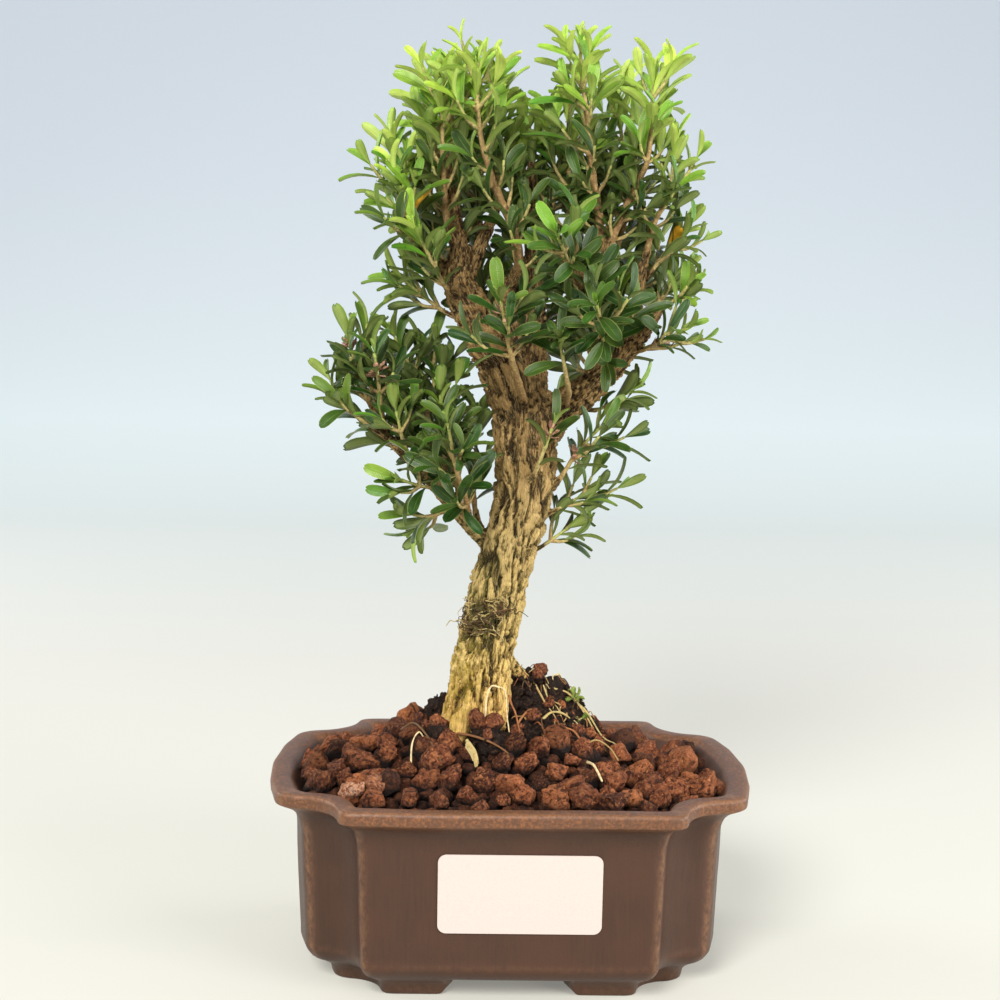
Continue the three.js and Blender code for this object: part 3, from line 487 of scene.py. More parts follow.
def icosphere(level):
    """Points and faces of a unit ball from a divided icosahedron."""
    golden = (1 + math.sqrt(5)) / 2
    points = [
        (-1, golden, 0), (1, golden, 0), (-1, -golden, 0), (1, -golden, 0),
        (0, -1, golden), (0, 1, golden), (0, -1, -golden), (0, 1, -golden),
        (golden, 0, -1), (golden, 0, 1), (-golden, 0, -1), (-golden, 0, 1),
    ]
    faces = [
        (0, 11, 5), (0, 5, 1), (0, 1, 7), (0, 7, 10), (0, 10, 11), (1, 5, 9), (5, 11, 4), (11, 10, 2),
        (10, 7, 6), (7, 1, 8), (3, 9, 4), (3, 4, 2), (3, 2, 6), (3, 6, 8), (3, 8, 9), (4, 9, 5),
        (2, 4, 11), (6, 2, 10), (8, 6, 7), (9, 8, 1),
    ]
    points = [np.array(p, float) / math.hypot(1, golden) for p in points]
    for _ in range(level):
        middles = {}
        divided = []

        def middle(a, b):
            key = (min(a, b), max(a, b))
            if key not in middles:
                middles[key] = len(points)
                points.append(unit(points[a] + points[b]))
            return middles[key]

        for a, b, c in faces:
            ab, bc, ca = middle(a, b), middle(b, c), middle(c, a)
            divided += [(a, ab, ca), (b, bc, ab), (c, ca, bc), (ab, bc, ca)]
        faces = divided
    return np.array(points), np.array(faces)


BALLS = [icosphere(level) for level in range(4)]


def turning(*keys):
    """Random rotation matrix."""
    u, v, w = draw(*keys, 1), draw(*keys, 2) * 2 * math.pi, draw(*keys, 3) * 2 * math.pi
    x, y = math.sqrt(1 - u) * math.sin(v), math.sqrt(1 - u) * math.cos(v)
    z, s = math.sqrt(u) * math.sin(w), math.sqrt(u) * math.cos(w)
    return np.array([
        [1 - 2 * (y * y + z * z), 2 * (x * y - z * s), 2 * (x * z + y * s)],
        [2 * (x * y + z * s), 1 - 2 * (x * x + z * z), 2 * (y * z - x * s)],
        [2 * (x * z - y * s), 2 * (y * z + x * s), 1 - 2 * (x * x + y * y)],
    ])


# Materials

def colour(red, green, blue):
    """Linear colour from the 0 to 255 values of a screen colour."""
    linear = [((c / 255 + 0.055) / 1.055) ** 2.4 if c > 10 else c / 255 / 12.92 for c in (red, green, blue)]
    return (*linear, 1)


class Look:
    """One procedural material round a Principled shader."""

    def __init__(self, name, **constants):
        self.material = bpy.data.materials.new(name)
        self.material.use_nodes = True
        self.tree = self.material.node_tree
        self.shader = self.tree.nodes["Principled BSDF"]
        for socket, value in constants.items():
            self.shader.inputs[socket.replace("_", " ")].default_value = value

    def add(self, kind, inputs, out=0, **settings):
        node = self.tree.nodes.new("ShaderNode" + kind)
        for key, value in settings.items():
            setattr(node, key, value)
        for key, value in inputs.items():
            if isinstance(value, bpy.types.NodeSocket):
                self.tree.links.new(value, node.inputs[key])
            else:
                node.inputs[key].default_value = value
        return node.outputs[out]

    def layer(self, name):
        return self.add("Attribute", {}, out=1, attribute_type="GEOMETRY", attribute_name=name)

    def number(self, name):
        return self.add("Attribute", {}, out=2, attribute_type="GEOMETRY", attribute_name=name)

    def parts(self, vector):
        node = self.tree.nodes.new("ShaderNodeSeparateXYZ")
        self.tree.links.new(vector, node.inputs[0])
        return node.outputs[0], node.outputs[1], node.outputs[2]

    def place(self, stretch=(1, 1, 1)):
        """Object coordinates in millimetres, stretched."""
        coordinates = self.tree.nodes.new("ShaderNodeTexCoord").outputs["Object"]
        return self.scaled(coordinates, [1000 * s for s in stretch])

    def scaled(self, vector, stretch):
        return self.add("VectorMath", {0: vector, 1: tuple(stretch)}, operation="MULTIPLY")

    def noise(self, vector, scale, detail=3.0, roughness=0.55, distortion=0.0):
        return self.add("TexNoise", {
            "Vector": vector, "Scale": scale, "Detail": detail, "Roughness": roughness,
            "Distortion": distortion,
        })

    def cells(self, vector, scale):
        return self.add("TexVoronoi", {"Vector": vector, "Scale": scale})

    def math(self, operation, a, b=0.0):
        return self.add("Math", {0: a, 1: b}, operation=operation)

    def times(self, a, b):
        return self.math("MULTIPLY", a, b)

    def span(self, value, low, high, start=0.0, end=1.0):
        """Smooth step of a value from start at low to end at high."""
        inputs = {0: value, 1: low, 2: high, 3: start, 4: end}
        return self.add("MapRange", inputs, interpolation_type="SMOOTHSTEP")

    def mix(self, share, a, b):
        return self.add("Mix", {0: share, 6: a, 7: b}, out=2, data_type="RGBA")

    def lay(self, body, value, low, high, tint, most=1.0):
        """Lays a tint over a body colour where a value goes from low to high, up to the share most."""
        return self.mix(self.span(value, low, high, 0, most), body, colour(*tint))

    def ramp(self, value, stops):
        """Colour ramp with stops of a position and a screen colour."""
        node = self.tree.nodes.new("ShaderNodeValToRGB")
        self.tree.links.new(value, node.inputs[0])
        elements = node.color_ramp.elements
        while len(elements) < len(stops):
            elements.new(0.5)
        for element, (position, *tint) in zip(elements, stops):
            element.position = position
            element.color = colour(*tint)
        return node.outputs[0]

    def bump(self, height, depth, under=None):
        """Bump of a depth in millimetres for a height from 0 to 1."""
        inputs = {"Height": height, "Distance": depth * MM, "Strength": 1.0}
        if under is not None:
            inputs["Normal"] = under
        return self.add("Bump", inputs)

    def finish(self, **sockets):
        for socket, value in sockets.items():
            self.tree.links.new(value, self.shader.inputs[socket.replace("_", " ")])
        return self.material

    def finish_rough(self, body, value, smooth, rough, normal):
        """Finishes with a roughness from smooth to rough as a value goes from 0.3 to 0.7."""
        roughness = self.span(value, 0.3, 0.7, smooth, rough)
        return self.finish(Base_Color=body, Roughness=roughness, Normal=normal)


def stoneware():
    look = Look("stoneware", Specular_IOR_Level=0.33)
    place = look.place()
    fine = look.noise(place, 1.3, 5, 0.65)
    brushed = look.noise(look.place((0.9, 0.9, 0.05)), 1.0, 4, 0.6)
    cloudy = look.noise(place, 0.05, 3, 0.5)
    body = look.ramp(brushed, [(0.3, 59, 38, 28), (0.7, 66, 43, 31)])
    body = look.lay(body, cloudy, 0.4, 0.65, (69, 44, 31), 0.6)
    body = look.lay(body, fine, 0.55, 0.8, (47, 33, 27), 0.4)
    edge = look.number("edge")
    wear_and_highlight = look.times(edge, look.span(look.noise(look.place((1, 1, 0.6)), 0.5, 6, 0.75), 0.28, 0.72))
    rim = look.number("rim")
    speckled = look.noise(place, 0.9, 6, 0.75)
    rim_tint = look.mix(look.span(speckled, 0.44, 0.66), colour(90, 61, 44), colour(138, 88, 54))
    rim_tint = look.lay(rim_tint, look.noise(place, 0.2, 4, 0.6), 0.5, 0.7, (88, 62, 49), 0.6)
    body = look.mix(look.times(rim, 0.85), body, rim_tint)
    # Pale rust tint: the clay rubbed pale at the cusps and on the feet, and painted highlight lines along
    # the lip's edges and the foot of the wall
    body = look.mix(look.times(wear_and_highlight, 0.55), body, colour(146, 104, 72))
    roughness = look.span(fine, 0.2, 0.8, 0.38, 0.5)
    normal = look.bump(fine, 0.09)
    normal = look.bump(brushed, 0.05, normal)
    return look.finish(Base_Color=body, Roughness=roughness, Normal=normal)


YELLOW_MOSS = colour(164, 138, 40)
OLIVE_MOSS = colour(96, 96, 40)


def bark():
    look = Look("bark", Specular_IOR_Level=0.2)
    grain = look.layer("grain")
    height = look.number("height")
    zone = look.number("zone")
    moss = look.number("moss")
    flake = look.number("flake")
    fibres = look.noise(look.scaled(grain, (1.7, 1.7, 0.24)), 1.0, 6, 0.7)
    patches = look.noise(look.scaled(grain, (0.3, 0.3, 0.09)), 1.0, 4, 0.6)
    flecks = look.noise(look.scaled(grain, (1.0, 1.0, 0.2)), 2.0, 4, 0.7)
    ridge = look.ramp(zone, [
        (0.0, 244, 196, 112), (0.2, 228, 196, 120), (0.5, 200, 172, 112),
        (0.75, 174, 140, 88), (1.0, 154, 122, 74),
    ])
    flank = look.ramp(zone, [
        (0.0, 178, 132, 62), (0.3, 130, 112, 60), (0.6, 106, 86, 48), (1.0, 92, 68, 40),
    ])
    furrow = look.ramp(zone, [
        (0.0, 70, 46, 20), (0.3, 48, 43, 20), (0.6, 52, 38, 21), (1.0, 52, 36, 21),
    ])
    relief = look.math("ADD", height, look.times(look.math("SUBTRACT", fibres, 0.5), 1.5))
    relief = look.math("ADD", relief, look.times(look.math("SUBTRACT", flake, 0.5), 0.35))
    body = look.mix(look.span(relief, 0.24, 0.48), furrow, flank)
    body = look.mix(look.span(relief, 0.48, 0.74), body, ridge)
    body = look.lay(body, patches, 0.54, 0.72, (116, 84, 44), 0.4)
    # Pale flecks high on the bark: pale flakes brightened into painted highlights
    pale_flakes_and_highlights = look.times(look.span(fibres, 0.54, 0.64), look.span(zone, 0.4, 0.8, 0, 0.6))
    body = look.mix(pale_flakes_and_highlights, body, colour(204, 172, 122))
    body = look.lay(body, flecks, 0.58, 0.74, (60, 42, 22), 0.5)
    green = look.times(moss, look.span(look.noise(grain, 0.35, 5, 0.7), 0.4, 0.58))
    moss_tint = look.mix(look.span(zone, 0.16, 0.3), YELLOW_MOSS, OLIVE_MOSS)
    body = look.mix(look.times(green, 0.65), body, moss_tint)
    streaks = look.noise(look.scaled(grain, (3.4, 3.4, 0.4)), 1.0, 4, 0.7)
    body = look.mix(look.span(streaks, 0.53, 0.67, 0, 0.8), body, furrow)
    body = look.lay(body, streaks, 0.46, 0.34, (232, 208, 152), 0.45)
    normal = look.bump(streaks, 0.8)
    normal = look.bump(fibres, 1.2, normal)
    normal = look.bump(flecks, 0.3, normal)
    roughness = look.span(height, 0, 1, 0.95, 0.78)
    return look.finish(Base_Color=body, Roughness=roughness, Normal=normal)


def leaf():
    look = Look("leaf", Specular_IOR_Level=0.36)
    across, way, under = look.parts(look.layer("blade"))
    age_and_shade, chance, accent = look.parts(look.layer("kind"))
    # Young and grown tints are painted brighter than the leaves' own colour, standing in for light shining
    # through them; leaves low and inside the crown count as older and darker, partly painted shade
    fresh_with_glow = look.mix(chance, colour(192, 216, 82), colour(154, 198, 66))
    grown_with_glow = look.mix(chance, colour(136, 168, 52), colour(84, 140, 36))
    old = look.mix(chance, colour(58, 76, 26), colour(20, 58, 12))
    body = look.mix(look.span(age_and_shade, 0, 0.42), fresh_with_glow, grown_with_glow)
    body = look.mix(look.span(age_and_shade, 0.36, 0.86), body, old)
    blotch = look.noise(look.place(), 0.35, 4, 0.6)
    body = look.lay(body, blotch, 0.35, 0.7, (66, 96, 36), 0.3)
    pale = look.mix(look.span(age_and_shade, 0, 1), colour(186, 202, 106), colour(124, 138, 78))
    body = look.mix(look.times(under, 0.7), body, pale)
    from_middle = look.math("ABSOLUTE", across)
    rib = look.times(look.span(from_middle, 0.1, 0.02), look.span(way, 0.98, 0.7))
    body = look.mix(look.times(rib, 0.2), body, colour(160, 180, 88))
    margin = look.span(from_middle, 0.86, 1.0)
    body = look.mix(look.times(margin, 0.36), body, colour(190, 192, 112))
    body = look.lay(body, accent, 0.5, 0.6, (214, 160, 44))
    body = look.lay(body, accent, 0.9, 1.0, (146, 112, 70))
    down_blade = look.scaled(look.layer("blade"), (1.1, 6.0, 0))
    veins = look.add(
        "TexWave", {"Vector": down_blade, "Scale": 1.4, "Distortion": 1.2},
        out=1, wave_type="BANDS", bands_direction="Y",
    )
    normal = look.bump(veins, 0.05)
    normal = look.bump(look.noise(look.place(), 0.9, 3), 0.1, normal)
    normal = look.bump(look.span(from_middle, 0.12, 0.0), 0.12, normal)
    return look.finish_rough(body, blotch, 0.3, 0.42, normal)


def twig():
    look = Look("twig", Specular_IOR_Level=0.3)
    wood = look.number("wood")
    place = look.place()
    mottle = look.noise(place, 0.9, 4, 0.65)
    tint = look.ramp(wood, [
        (0.0, 156, 172, 84), (0.3, 182, 168, 106), (0.6, 172, 146, 94), (1.0, 148, 118, 74),
    ])
    body = look.lay(tint, mottle, 0.42, 0.68, (92, 68, 42), 0.6)
    body = look.lay(body, mottle, 0.44, 0.32, (216, 190, 142), 0.5)
    normal = look.bump(look.noise(look.place((1, 1, 0.5)), 1.2, 5, 0.75), 0.6)
    return look.finish_rough(body, mottle, 0.6, 0.8, normal)


def lava():
    look = Look("lava_grit", Specular_IOR_Level=0.25)
    tone, damp_and_shade, crest = look.parts(look.layer("tone"))
    place = look.place()
    pits = look.cells(place, 1.6)
    rough = look.noise(place, 1.1, 7, 0.72)
    tint = look.ramp(tone, [
        (0.0, 88, 46, 28), (0.3, 116, 63, 39), (0.75, 142, 80, 49), (1.0, 164, 98, 60),
    ])
    body = look.lay(tint, rough, 0.52, 0.62, (42, 21, 12), 0.85)
    body = look.lay(body, rough, 0.46, 0.34, (216, 142, 88), 0.75)
    # Painted shade in the hollows between each stone's small crests, and painted highlights on the crests
    body = look.lay(body, crest, 0.36, 0.08, (34, 17, 10), 0.75)
    body = look.lay(body, crest, 0.62, 0.95, (190, 124, 78), 0.4)
    # Dark tint for damp stones, and painted shade on each grain's underside and over the whole layer of
    # grains under the top ones
    body = look.mix(look.times(damp_and_shade, 0.8), body, colour(24, 13, 9))
    crust = look.times(look.span(damp_and_shade, -0.2, -0.9), look.span(look.noise(place, 0.8, 6, 0.8), 0.46, 0.56))
    body = look.mix(look.times(crust, 0.8), body, colour(214, 168, 138))
    normal = look.bump(rough, 1.3)
    normal = look.bump(look.span(pits, 0.0, 0.4), 0.45, normal)
    return look.finish_rough(body, rough, 0.72, 0.95, normal)


def peat():
    look = Look("peat", Specular_IOR_Level=0.25)
    place = look.place()
    crumbs = look.noise(place, 0.85, 6, 0.75)
    fibres = look.noise(look.place((0.3, 1.4, 1.4)), 1.0, 5, 0.7, 1.5)
    body = look.ramp(crumbs, [(0.36, 16, 10, 8), (0.52, 46, 31, 24), (0.64, 102, 72, 54)])
    body = look.lay(body, fibres, 0.6, 0.7, (130, 94, 58), 0.75)
    # Pale flecks: painted glints on the crumbs
    grit = look.noise(place, 2.2, 4, 0.8)
    body = look.lay(body, grit, 0.62, 0.72, (150, 116, 82), 0.6)
    normal = look.bump(grit, 1.2)
    normal = look.bump(crumbs, 3.4, normal)
    return look.finish_rough(body, crumbs, 0.7, 0.95, normal)


def paper():
    look = Look("label_paper", Specular_IOR_Level=0.3)
    fibre = look.noise(look.place(), 1.6, 5, 0.7)
    body = look.mix(look.span(fibre, 0.35, 0.7), colour(194, 181, 175), colour(189, 175, 168))
    return look.finish_rough(body, fibre, 0.5, 0.62, look.bump(fibre, 0.02))


def plastic():
    look = Look("drain_plastic", Specular_IOR_Level=0.4)
    grain = look.noise(look.place(), 2.0, 4, 0.6)
    body = look.mix(look.span(grain, 0.4, 0.7), colour(34, 36, 35), colour(50, 51, 48))
    return look.finish_rough(body, grain, 0.5, 0.7, look.bump(grain, 0.06))


def root_skin():
    look = Look("root_skin", Specular_IOR_Level=0.3)
    tone, _, _ = look.parts(look.layer("tone"))
    mottle = look.noise(look.place(), 0.9, 5, 0.7)
    tint = look.ramp(tone, [
        (0.0, 226, 204, 158), (0.35, 178, 160, 104), (0.65, 152, 92, 52), (0.8, 104, 74, 46),
        (1.0, 50, 52, 28),
    ])
    body = look.lay(tint, mottle, 0.45, 0.7, (92, 66, 42), 0.55)
    return look.finish_rough(body, mottle, 0.6, 0.8, look.bump(mottle, 0.3))


def moss_look():
    look = Look("moss", Specular_IOR_Level=0.3)
    place = look.place()
    mottle = look.noise(place, 1.2, 4, 0.7)
    body = look.ramp(mottle, [(0.3, 86, 104, 40), (0.55, 132, 150, 66), (0.75, 172, 180, 108)])
    return look.finish_rough(body, mottle, 0.6, 0.85, look.bump(mottle, 0.4))


def dried_look():
    look = Look("dried_flower", Specular_IOR_Level=0.25)
    mottle = look.noise(look.place(), 1.1, 5, 0.7)
    body = look.ramp(mottle, [(0.3, 104, 66, 52), (0.5, 176, 130, 104), (0.72, 220, 190, 158)])
    return look.finish_rough(body, mottle, 0.7, 0.9, look.bump(mottle, 0.4))


def studio_floor():
    look = Look("studio_sweep", Specular_IOR_Level=0.1, Emission_Strength=0.42)
    coordinates = look.tree.nodes.new("ShaderNodeTexCoord").outputs["Object"]
    _, back, _ = look.parts(coordinates)
    body = look.ramp(look.math("DIVIDE", back, 2.6), [
        (0.0, 185, 184, 176), (0.2, 189, 189, 184), (0.45, 197, 203, 202),
        (0.64, 205, 215, 218), (0.87, 197, 205, 213), (1.0, 192, 200, 209),
    ])
    grain = look.noise(coordinates, 60.0, 3)
    roughness = look.span(grain, 0.3, 0.7, 0.85, 0.95)
    return look.finish(Base_Color=body, Emission_Color=body, Roughness=roughness)


STONEWARE = stoneware()
BARK = bark()
LEAF = leaf()
TWIG = twig()
LAVA = lava()
PEAT = peat()
PAPER = paper()
PLASTIC = plastic()
ROOT_SKIN = root_skin()
MOSS = moss_look()
DRIED = dried_look()


# Pot

def pot_outline():
    """Lobed outline over the lip, anticlockwise, and how near each of its points is to a cusp."""
    quarter = [(POT_HALF_WIDTH - inset, y) for inset, y in SIDE_BOW]
    # The notch is a quarter circle cut in, drawn in steps of 9 degrees
    notch_x, notch_y = NOTCH_CENTRE
    for i in range(11):
        angle = math.radians(270 - 9 * i)
        quarter.append((notch_x + NOTCH_RADIUS * math.cos(angle), notch_y + NOTCH_RADIUS * math.sin(angle)))
    quarter += [(FRONT_EDGE_HALF + 2.8, POT_HALF_DEPTH - 0.7), (FRONT_EDGE_HALF, POT_HALF_DEPTH)]
    half = quarter + [(0, POT_HALF_DEPTH)] + [(-x, y) for x, y in reversed(quarter[1:])]
    corners = np.array(half + [(-x, -y) for x, y in half], float)
    steps = np.linalg.norm(np.roll(corners, -1, 0) - corners, axis=1)
    ends = np.concatenate([[0], np.cumsum(steps)])
    count = int(round(ends[-1] / OUTLINE_STEP / 4)) * 4
    wanted = np.linspace(0, ends[-1], count, endpoint=False)
    closed = np.vstack([corners, corners[:1]])
    outline = np.stack([np.interp(wanted, ends, closed[:, axis]) for axis in (0, 1)], axis=1)
    for _ in range(OUTLINE_SOFTENING):
        outline = 0.25 * np.roll(outline, 1, 0) + 0.5 * outline + 0.25 * np.roll(outline, -1, 0)
    away = np.min([np.hypot(np.abs(outline[:, 0]) - x, np.abs(outline[:, 1]) - y) for x, y in CUSPS], axis=0)
    return outline, np.exp(-(away / CUSP_REACH) ** 2)


OUTLINE, CUSP = pot_outline()


def inset_outline(outline, inset):
    """Outline drawn in by a distance on all sides."""
    scale = np.array([(POT_HALF_WIDTH - inset) / POT_HALF_WIDTH, (POT_HALF_DEPTH - inset) / POT_HALF_DEPTH])
    return outline * scale


def rounded_profile(corners, step):
    """Open profile through corners, each cut back by its own radius with a short arc."""
    points = [corners[0][:2]]
    for before, here, after in zip(corners, corners[1:], corners[2:]):
        middle = np.array(here[:2], float)
        radius = here[2]
        back = np.array(before[:2]) - middle
        ahead = np.array(after[:2]) - middle
        cut = min(radius, np.linalg.norm(back) * 0.48, np.linalg.norm(ahead) * 0.48)
        start, end = middle + unit(back) * cut, middle + unit(ahead) * cut
        for i in range(step + 1):
            t = i / step
            points.append(tuple((1 - t) ** 2 * start + 2 * t * (1 - t) * middle + t * t * end))
    points.append(corners[-1][:2])
    return np.array(points)


# Section of the pot from under its floor up, over the lip and down inside: inset, height and rounding
POT_PROFILE = (
    (24, FOOT_HEIGHT, 0), (19, FOOT_HEIGHT, 2), (14, FOOT_HEIGHT + 1.8, 5), (11.4, 13, 3), (11.5, 16, 2),
    (10.4, 40, 10), (9.7, 59, 8), (7.4, 65.6, 5), (1.2, 68.6, 0.8), (0.2, 69.2, 0.5), (0, 72.6, 0.5),
    (0.7, 73.7, 0.5), (4, POT_HEIGHT, 2), (7.2, POT_HEIGHT - 0.4, 1.2), (9.5, 71, 2), (*INNER_TOP, 4),
    (15.2, 22, 8), (17.5, FLOOR_TOP + 1, 3), (24, FLOOR_TOP, 0),
)
# How much the wall and the lip waver, as a hand-pressed pot does
WALL_WAVER = 0.25
LIP_WAVER = 0.3


def pot_piece():
    shape = Shape()
    profile = rounded_profile(POT_PROFILE, 3)
    rings, edges, rims = [], [], []
    for inset, z in profile:
        ring = inset_outline(OUTLINE, inset)
        waver = layered_noise(np.column_stack([ring / 22, np.full(len(ring), z / 22)]), 2, 5) * WALL_WAVER
        ring = ring + units(ring) * waver[:, None]
        rise = layered_noise(np.column_stack([ring / 30, np.full(len(ring), 3.0)]), 2, 6)
        rings.append(np.column_stack([ring, z + rise * (LIP_WAVER if z > 60 else 0)]))
        # Pale lines under the lip, round the foot of the wall and along the lip's outer edge are painted
        # highlights; at the cusps the pale tint is the clay rubbed pale
        outer = 1.0 if inset < 13 else 0.0
        bead = 0.9 * math.exp(-((z - 68.9) / 0.5) ** 2) + 0.2 * math.exp(-((z - 14) / 1.4) ** 2)
        bead += (inset < 2) * math.exp(-((z - 73.4) / 0.6) ** 2)
        edges.append(np.maximum(CUSP * (1 if z > 10 else 0.4), bead) * outer)
        rims.append(np.full(len(ring), float(ease(65, 69, np.array(z)) * (inset < 8.5))))
    shape.add_rings(
        rings, ((0, 0, FOOT_HEIGHT), (0, 0, FLOOR_TOP)),
        edge=np.concatenate([*edges, [0, 0]]), rim=np.concatenate([*rims, [0, 0]]),
    )
    for sign_x in (-1, 1):
        for sign_y in (-1, 1):
            add_foot(shape, sign_x, sign_y)
    piece = shape.build("pot_body", [STONEWARE], ["pot"], sharp=60)
    for sign in (-1, 1):
        drill(piece, sign * DRAIN_HOLE_X, 0, DRAIN_HOLE_RADIUS, FOOT_HEIGHT - 2, FLOOR_TOP + 2)
    return piece


def add_foot(shape, sign_x, sign_y):
    """Bracket foot under one notch, with a cove up into the wall and hollowed ends."""
    keep = (OUTLINE[:, 0] > 0) & (OUTLINE[:, 1] > 0)
    quarter = OUTLINE[keep]
    quarter = quarter[np.argsort(np.arctan2(quarter[:, 1], quarter[:, 0]))]
    # Inset and height, from the back of the foot round under it and up to the wall
    back = FOOT_INSET + FOOT_THICKNESS
    section = [
        (back, FOOT_HEIGHT + 1), (back, 0.6), (back - 0.6, 0),
        (FOOT_INSET + 0.6, 0), (FOOT_INSET, 0.5), (FOOT_INSET - 0.3, 2.4),
        (FOOT_INSET - 1, 4.2), (FOOT_INSET - 2.4, 5.8), (FOOT_INSET - 4.6, 7.2), (FOOT_INSET - 7.4, 8.9),
        (FOOT_INSET - 6, 10),
    ]
    middle = inset_outline(quarter, FOOT_INSET)
    inside = (middle[:, 0] > FOOT_FRONT_END) & (middle[:, 1] > FOOT_SIDE_END)
    quarter = quarter[inside]
    middle = middle[inside]
    length = np.concatenate([[0], np.cumsum(np.linalg.norm(np.diff(middle, axis=0), axis=1))])
    from_end = np.minimum(length, length[-1] - length)
    lift = (FOOT_HEIGHT + 0.6) * np.clip(1 - from_end / FOOT_END_HOLLOW, 0, 1) ** 2.2
    rows = []
    for inset, z in section:
        ring = inset_outline(quarter, inset)
        hollow = np.minimum(lift, FOOT_HEIGHT + 1) if z < FOOT_HEIGHT + 1 else np.zeros(len(ring))
        level = np.maximum(z, hollow)
        rows.append(np.column_stack([ring[:, 0] * sign_x, ring[:, 1] * sign_y, level]))
    points = np.vstack(rows)
    faces = grid_faces(len(section), len(quarter))
    ends = np.arange(len(section)) * len(quarter)
    caps = [
        np.stack([np.full(len(ends) - 2, first), first + ends[1:-1], first + ends[2:]], axis=-1)
        for first in (0, len(quarter) - 1)
    ]
    caps[0] = caps[0][:, ::-1]
    if sign_x * sign_y > 0:
        faces = faces[:, ::-1]
        caps = [cap[:, ::-1] for cap in caps]
    shape.add(points, [faces, *caps], edge=0.25, rim=0.0)


def drill(piece, x, y, radius, bottom, top):
    """Cuts a round hole through a piece."""
    index = np.arange(HOLE_SIDES)
    angle = index * 2 * math.pi / HOLE_SIDES
    ring = np.column_stack([x + radius * np.cos(angle), y + radius * np.sin(angle)])
    rings = [np.column_stack([ring, np.full(HOLE_SIDES, z)]) for z in (bottom, top)]
    points = np.vstack([*rings, [[x, y, bottom], [x, y, top]]])
    faces = [
        grid_faces(2, HOLE_SIDES, closed=True), fan_faces(index, 2 * HOLE_SIDES, turned=True),
        fan_faces(index + HOLE_SIDES, 2 * HOLE_SIDES + 1),
    ]
    mesh = bpy.data.meshes.new("cutter")
    mesh.from_pydata((points * MM).tolist(), [], [face.tolist() for group in faces for face in group])
    tool = bpy.data.objects.new("cutter", mesh)
    bpy.context.scene.collection.objects.link(tool)
    modifier = piece.modifiers.new("hole", "BOOLEAN")
    modifier.operation = "DIFFERENCE"
    modifier.object = tool
    modifier.solver = "EXACT"
    apply_modifiers(piece)
    bpy.data.objects.remove(tool)


def apply_modifiers(piece):
    bpy.context.view_layer.update()
    graph = bpy.context.evaluated_depsgraph_get()
    result = piece.evaluated_get(graph)
    mesh = bpy.data.meshes.new_from_object(result, preserve_all_data_layers=True, depsgraph=graph)
    piece.modifiers.clear()
    old = piece.data
    piece.data = mesh
    bpy.data.meshes.remove(old)


def wall_y(z):
    """Y of the front wall's face at a height."""
    share = (z - WALL_FOOT[1]) / (WALL_TOP[1] - WALL_FOOT[1])
    return -(POT_HALF_DEPTH - WALL_FOOT[0] - (WALL_TOP[0] - WALL_FOOT[0]) * share)


def label_piece():
    left, right, bottom, top = LABEL["left"], LABEL["right"], LABEL["bottom"], LABEL["top"]
    corner, thickness = LABEL["corner"], LABEL["thickness"]
    outline = []
    for x, z, first in ((right, bottom, -90), (right, top, 0), (left, top, 90), (left, bottom, 180)):
        middle_x = x + (-corner if x == right else corner)
        middle_z = z + (-corner if z == top else corner)
        for i in range(LABEL_CORNER_STEPS + 1):
            angle = math.radians(first + i * 90 / LABEL_CORNER_STEPS)
            outline.append((middle_x + corner * math.cos(angle), middle_z + corner * math.sin(angle)))
    outline = np.array(outline)
    centre = np.array([(left + right) / 2, (bottom + top) / 2])

    def on_wall(places, share):
        """Places off the front wall, at a share of the sheet's thickness from its back."""
        y = wall_y(places[:, 1]) - (GAP + thickness * share)
        return np.column_stack([places[:, 0], y, places[:, 1]])

    rings = [on_wall(centre + (outline - centre) * shrink, share) for shrink, share in LABEL_RINGS]
    shape = Shape()
    shape.add_rings(rings, (on_wall(centre[None], 0), on_wall(centre[None], 1)))
    return shape.build("label_sheet", [PAPER], ["label"], sharp=25)


def drain_mesh_piece(side, x):
    """Square plastic net: crossing bars, each a closed rounded strip."""
    shape = Shape()
    z = FLOOR_TOP + GAP + MESH_BAR / 2
    half = MESH_SIDE / 2
    for i in range(MESH_CELLS + 1):
        at = -half + MESH_BAR / 2 + i * (MESH_SIDE - MESH_BAR) / MESH_CELLS
        for turned in (False, True):
            ends = [(at, end, 0) if turned else (end, at, 0) for end in (-half, half)]
            line = framed_line(np.linspace(*ends, BAR_PLACES) + np.array([x, 0, z]))
            points, faces = tube(line, np.full(BAR_PLACES, MESH_BAR / 2), BAR_SIDES)
            points[:, 0] = np.clip(points[:, 0], x - half, x + half)
            points[:, 1] = np.clip(points[:, 1], -half, half)
            shape.add(points, faces)
    return shape.build(f"drain_net_{side}", [PLASTIC], [f"drain_mesh_{side}"])


# Wood

def wood_line(points, steps=4):
    """Smooth line of a limb, with its radius at each of its places."""
    line = smooth_line(points, steps)
    stations = line["length"][::steps]
    line["radius"] = np.interp(line["length"], stations, [p[3] for p in points])
    return line


WOOD = [wood_line(points) for points in LIMBS] + [wood_line([p[:4] for p in TRUNK])]
WOOD_PLACES = np.vstack([line["place"] for line in WOOD])
WOOD_RADII = np.concatenate([line["radius"] for line in WOOD])


def in_wood(place, margin):
    return bool(np.any(np.linalg.norm(WOOD_PLACES - place, axis=1) < WOOD_RADII + margin))


# Knobs and pruning scars on the trunk: x, y, z, reach and height
KNOBS = (
    (3, -4, 190, 4.2, 2.0), (-5, -3.5, 170, 2.6, 1.6), (11, -3.5, 168, 2.2, 1.0), (13, 0, 181, 3.2, 1.4),
    (-3.5, -3, 196, 3.4, 1.6), (-16, -8, 113, 4.2, 1.8), (0, -8, 112, 2.6, 1.2), (-20, -15, 86, 3, 0.9),
    (-7, -13, 88, 3.6, 1.4),
)
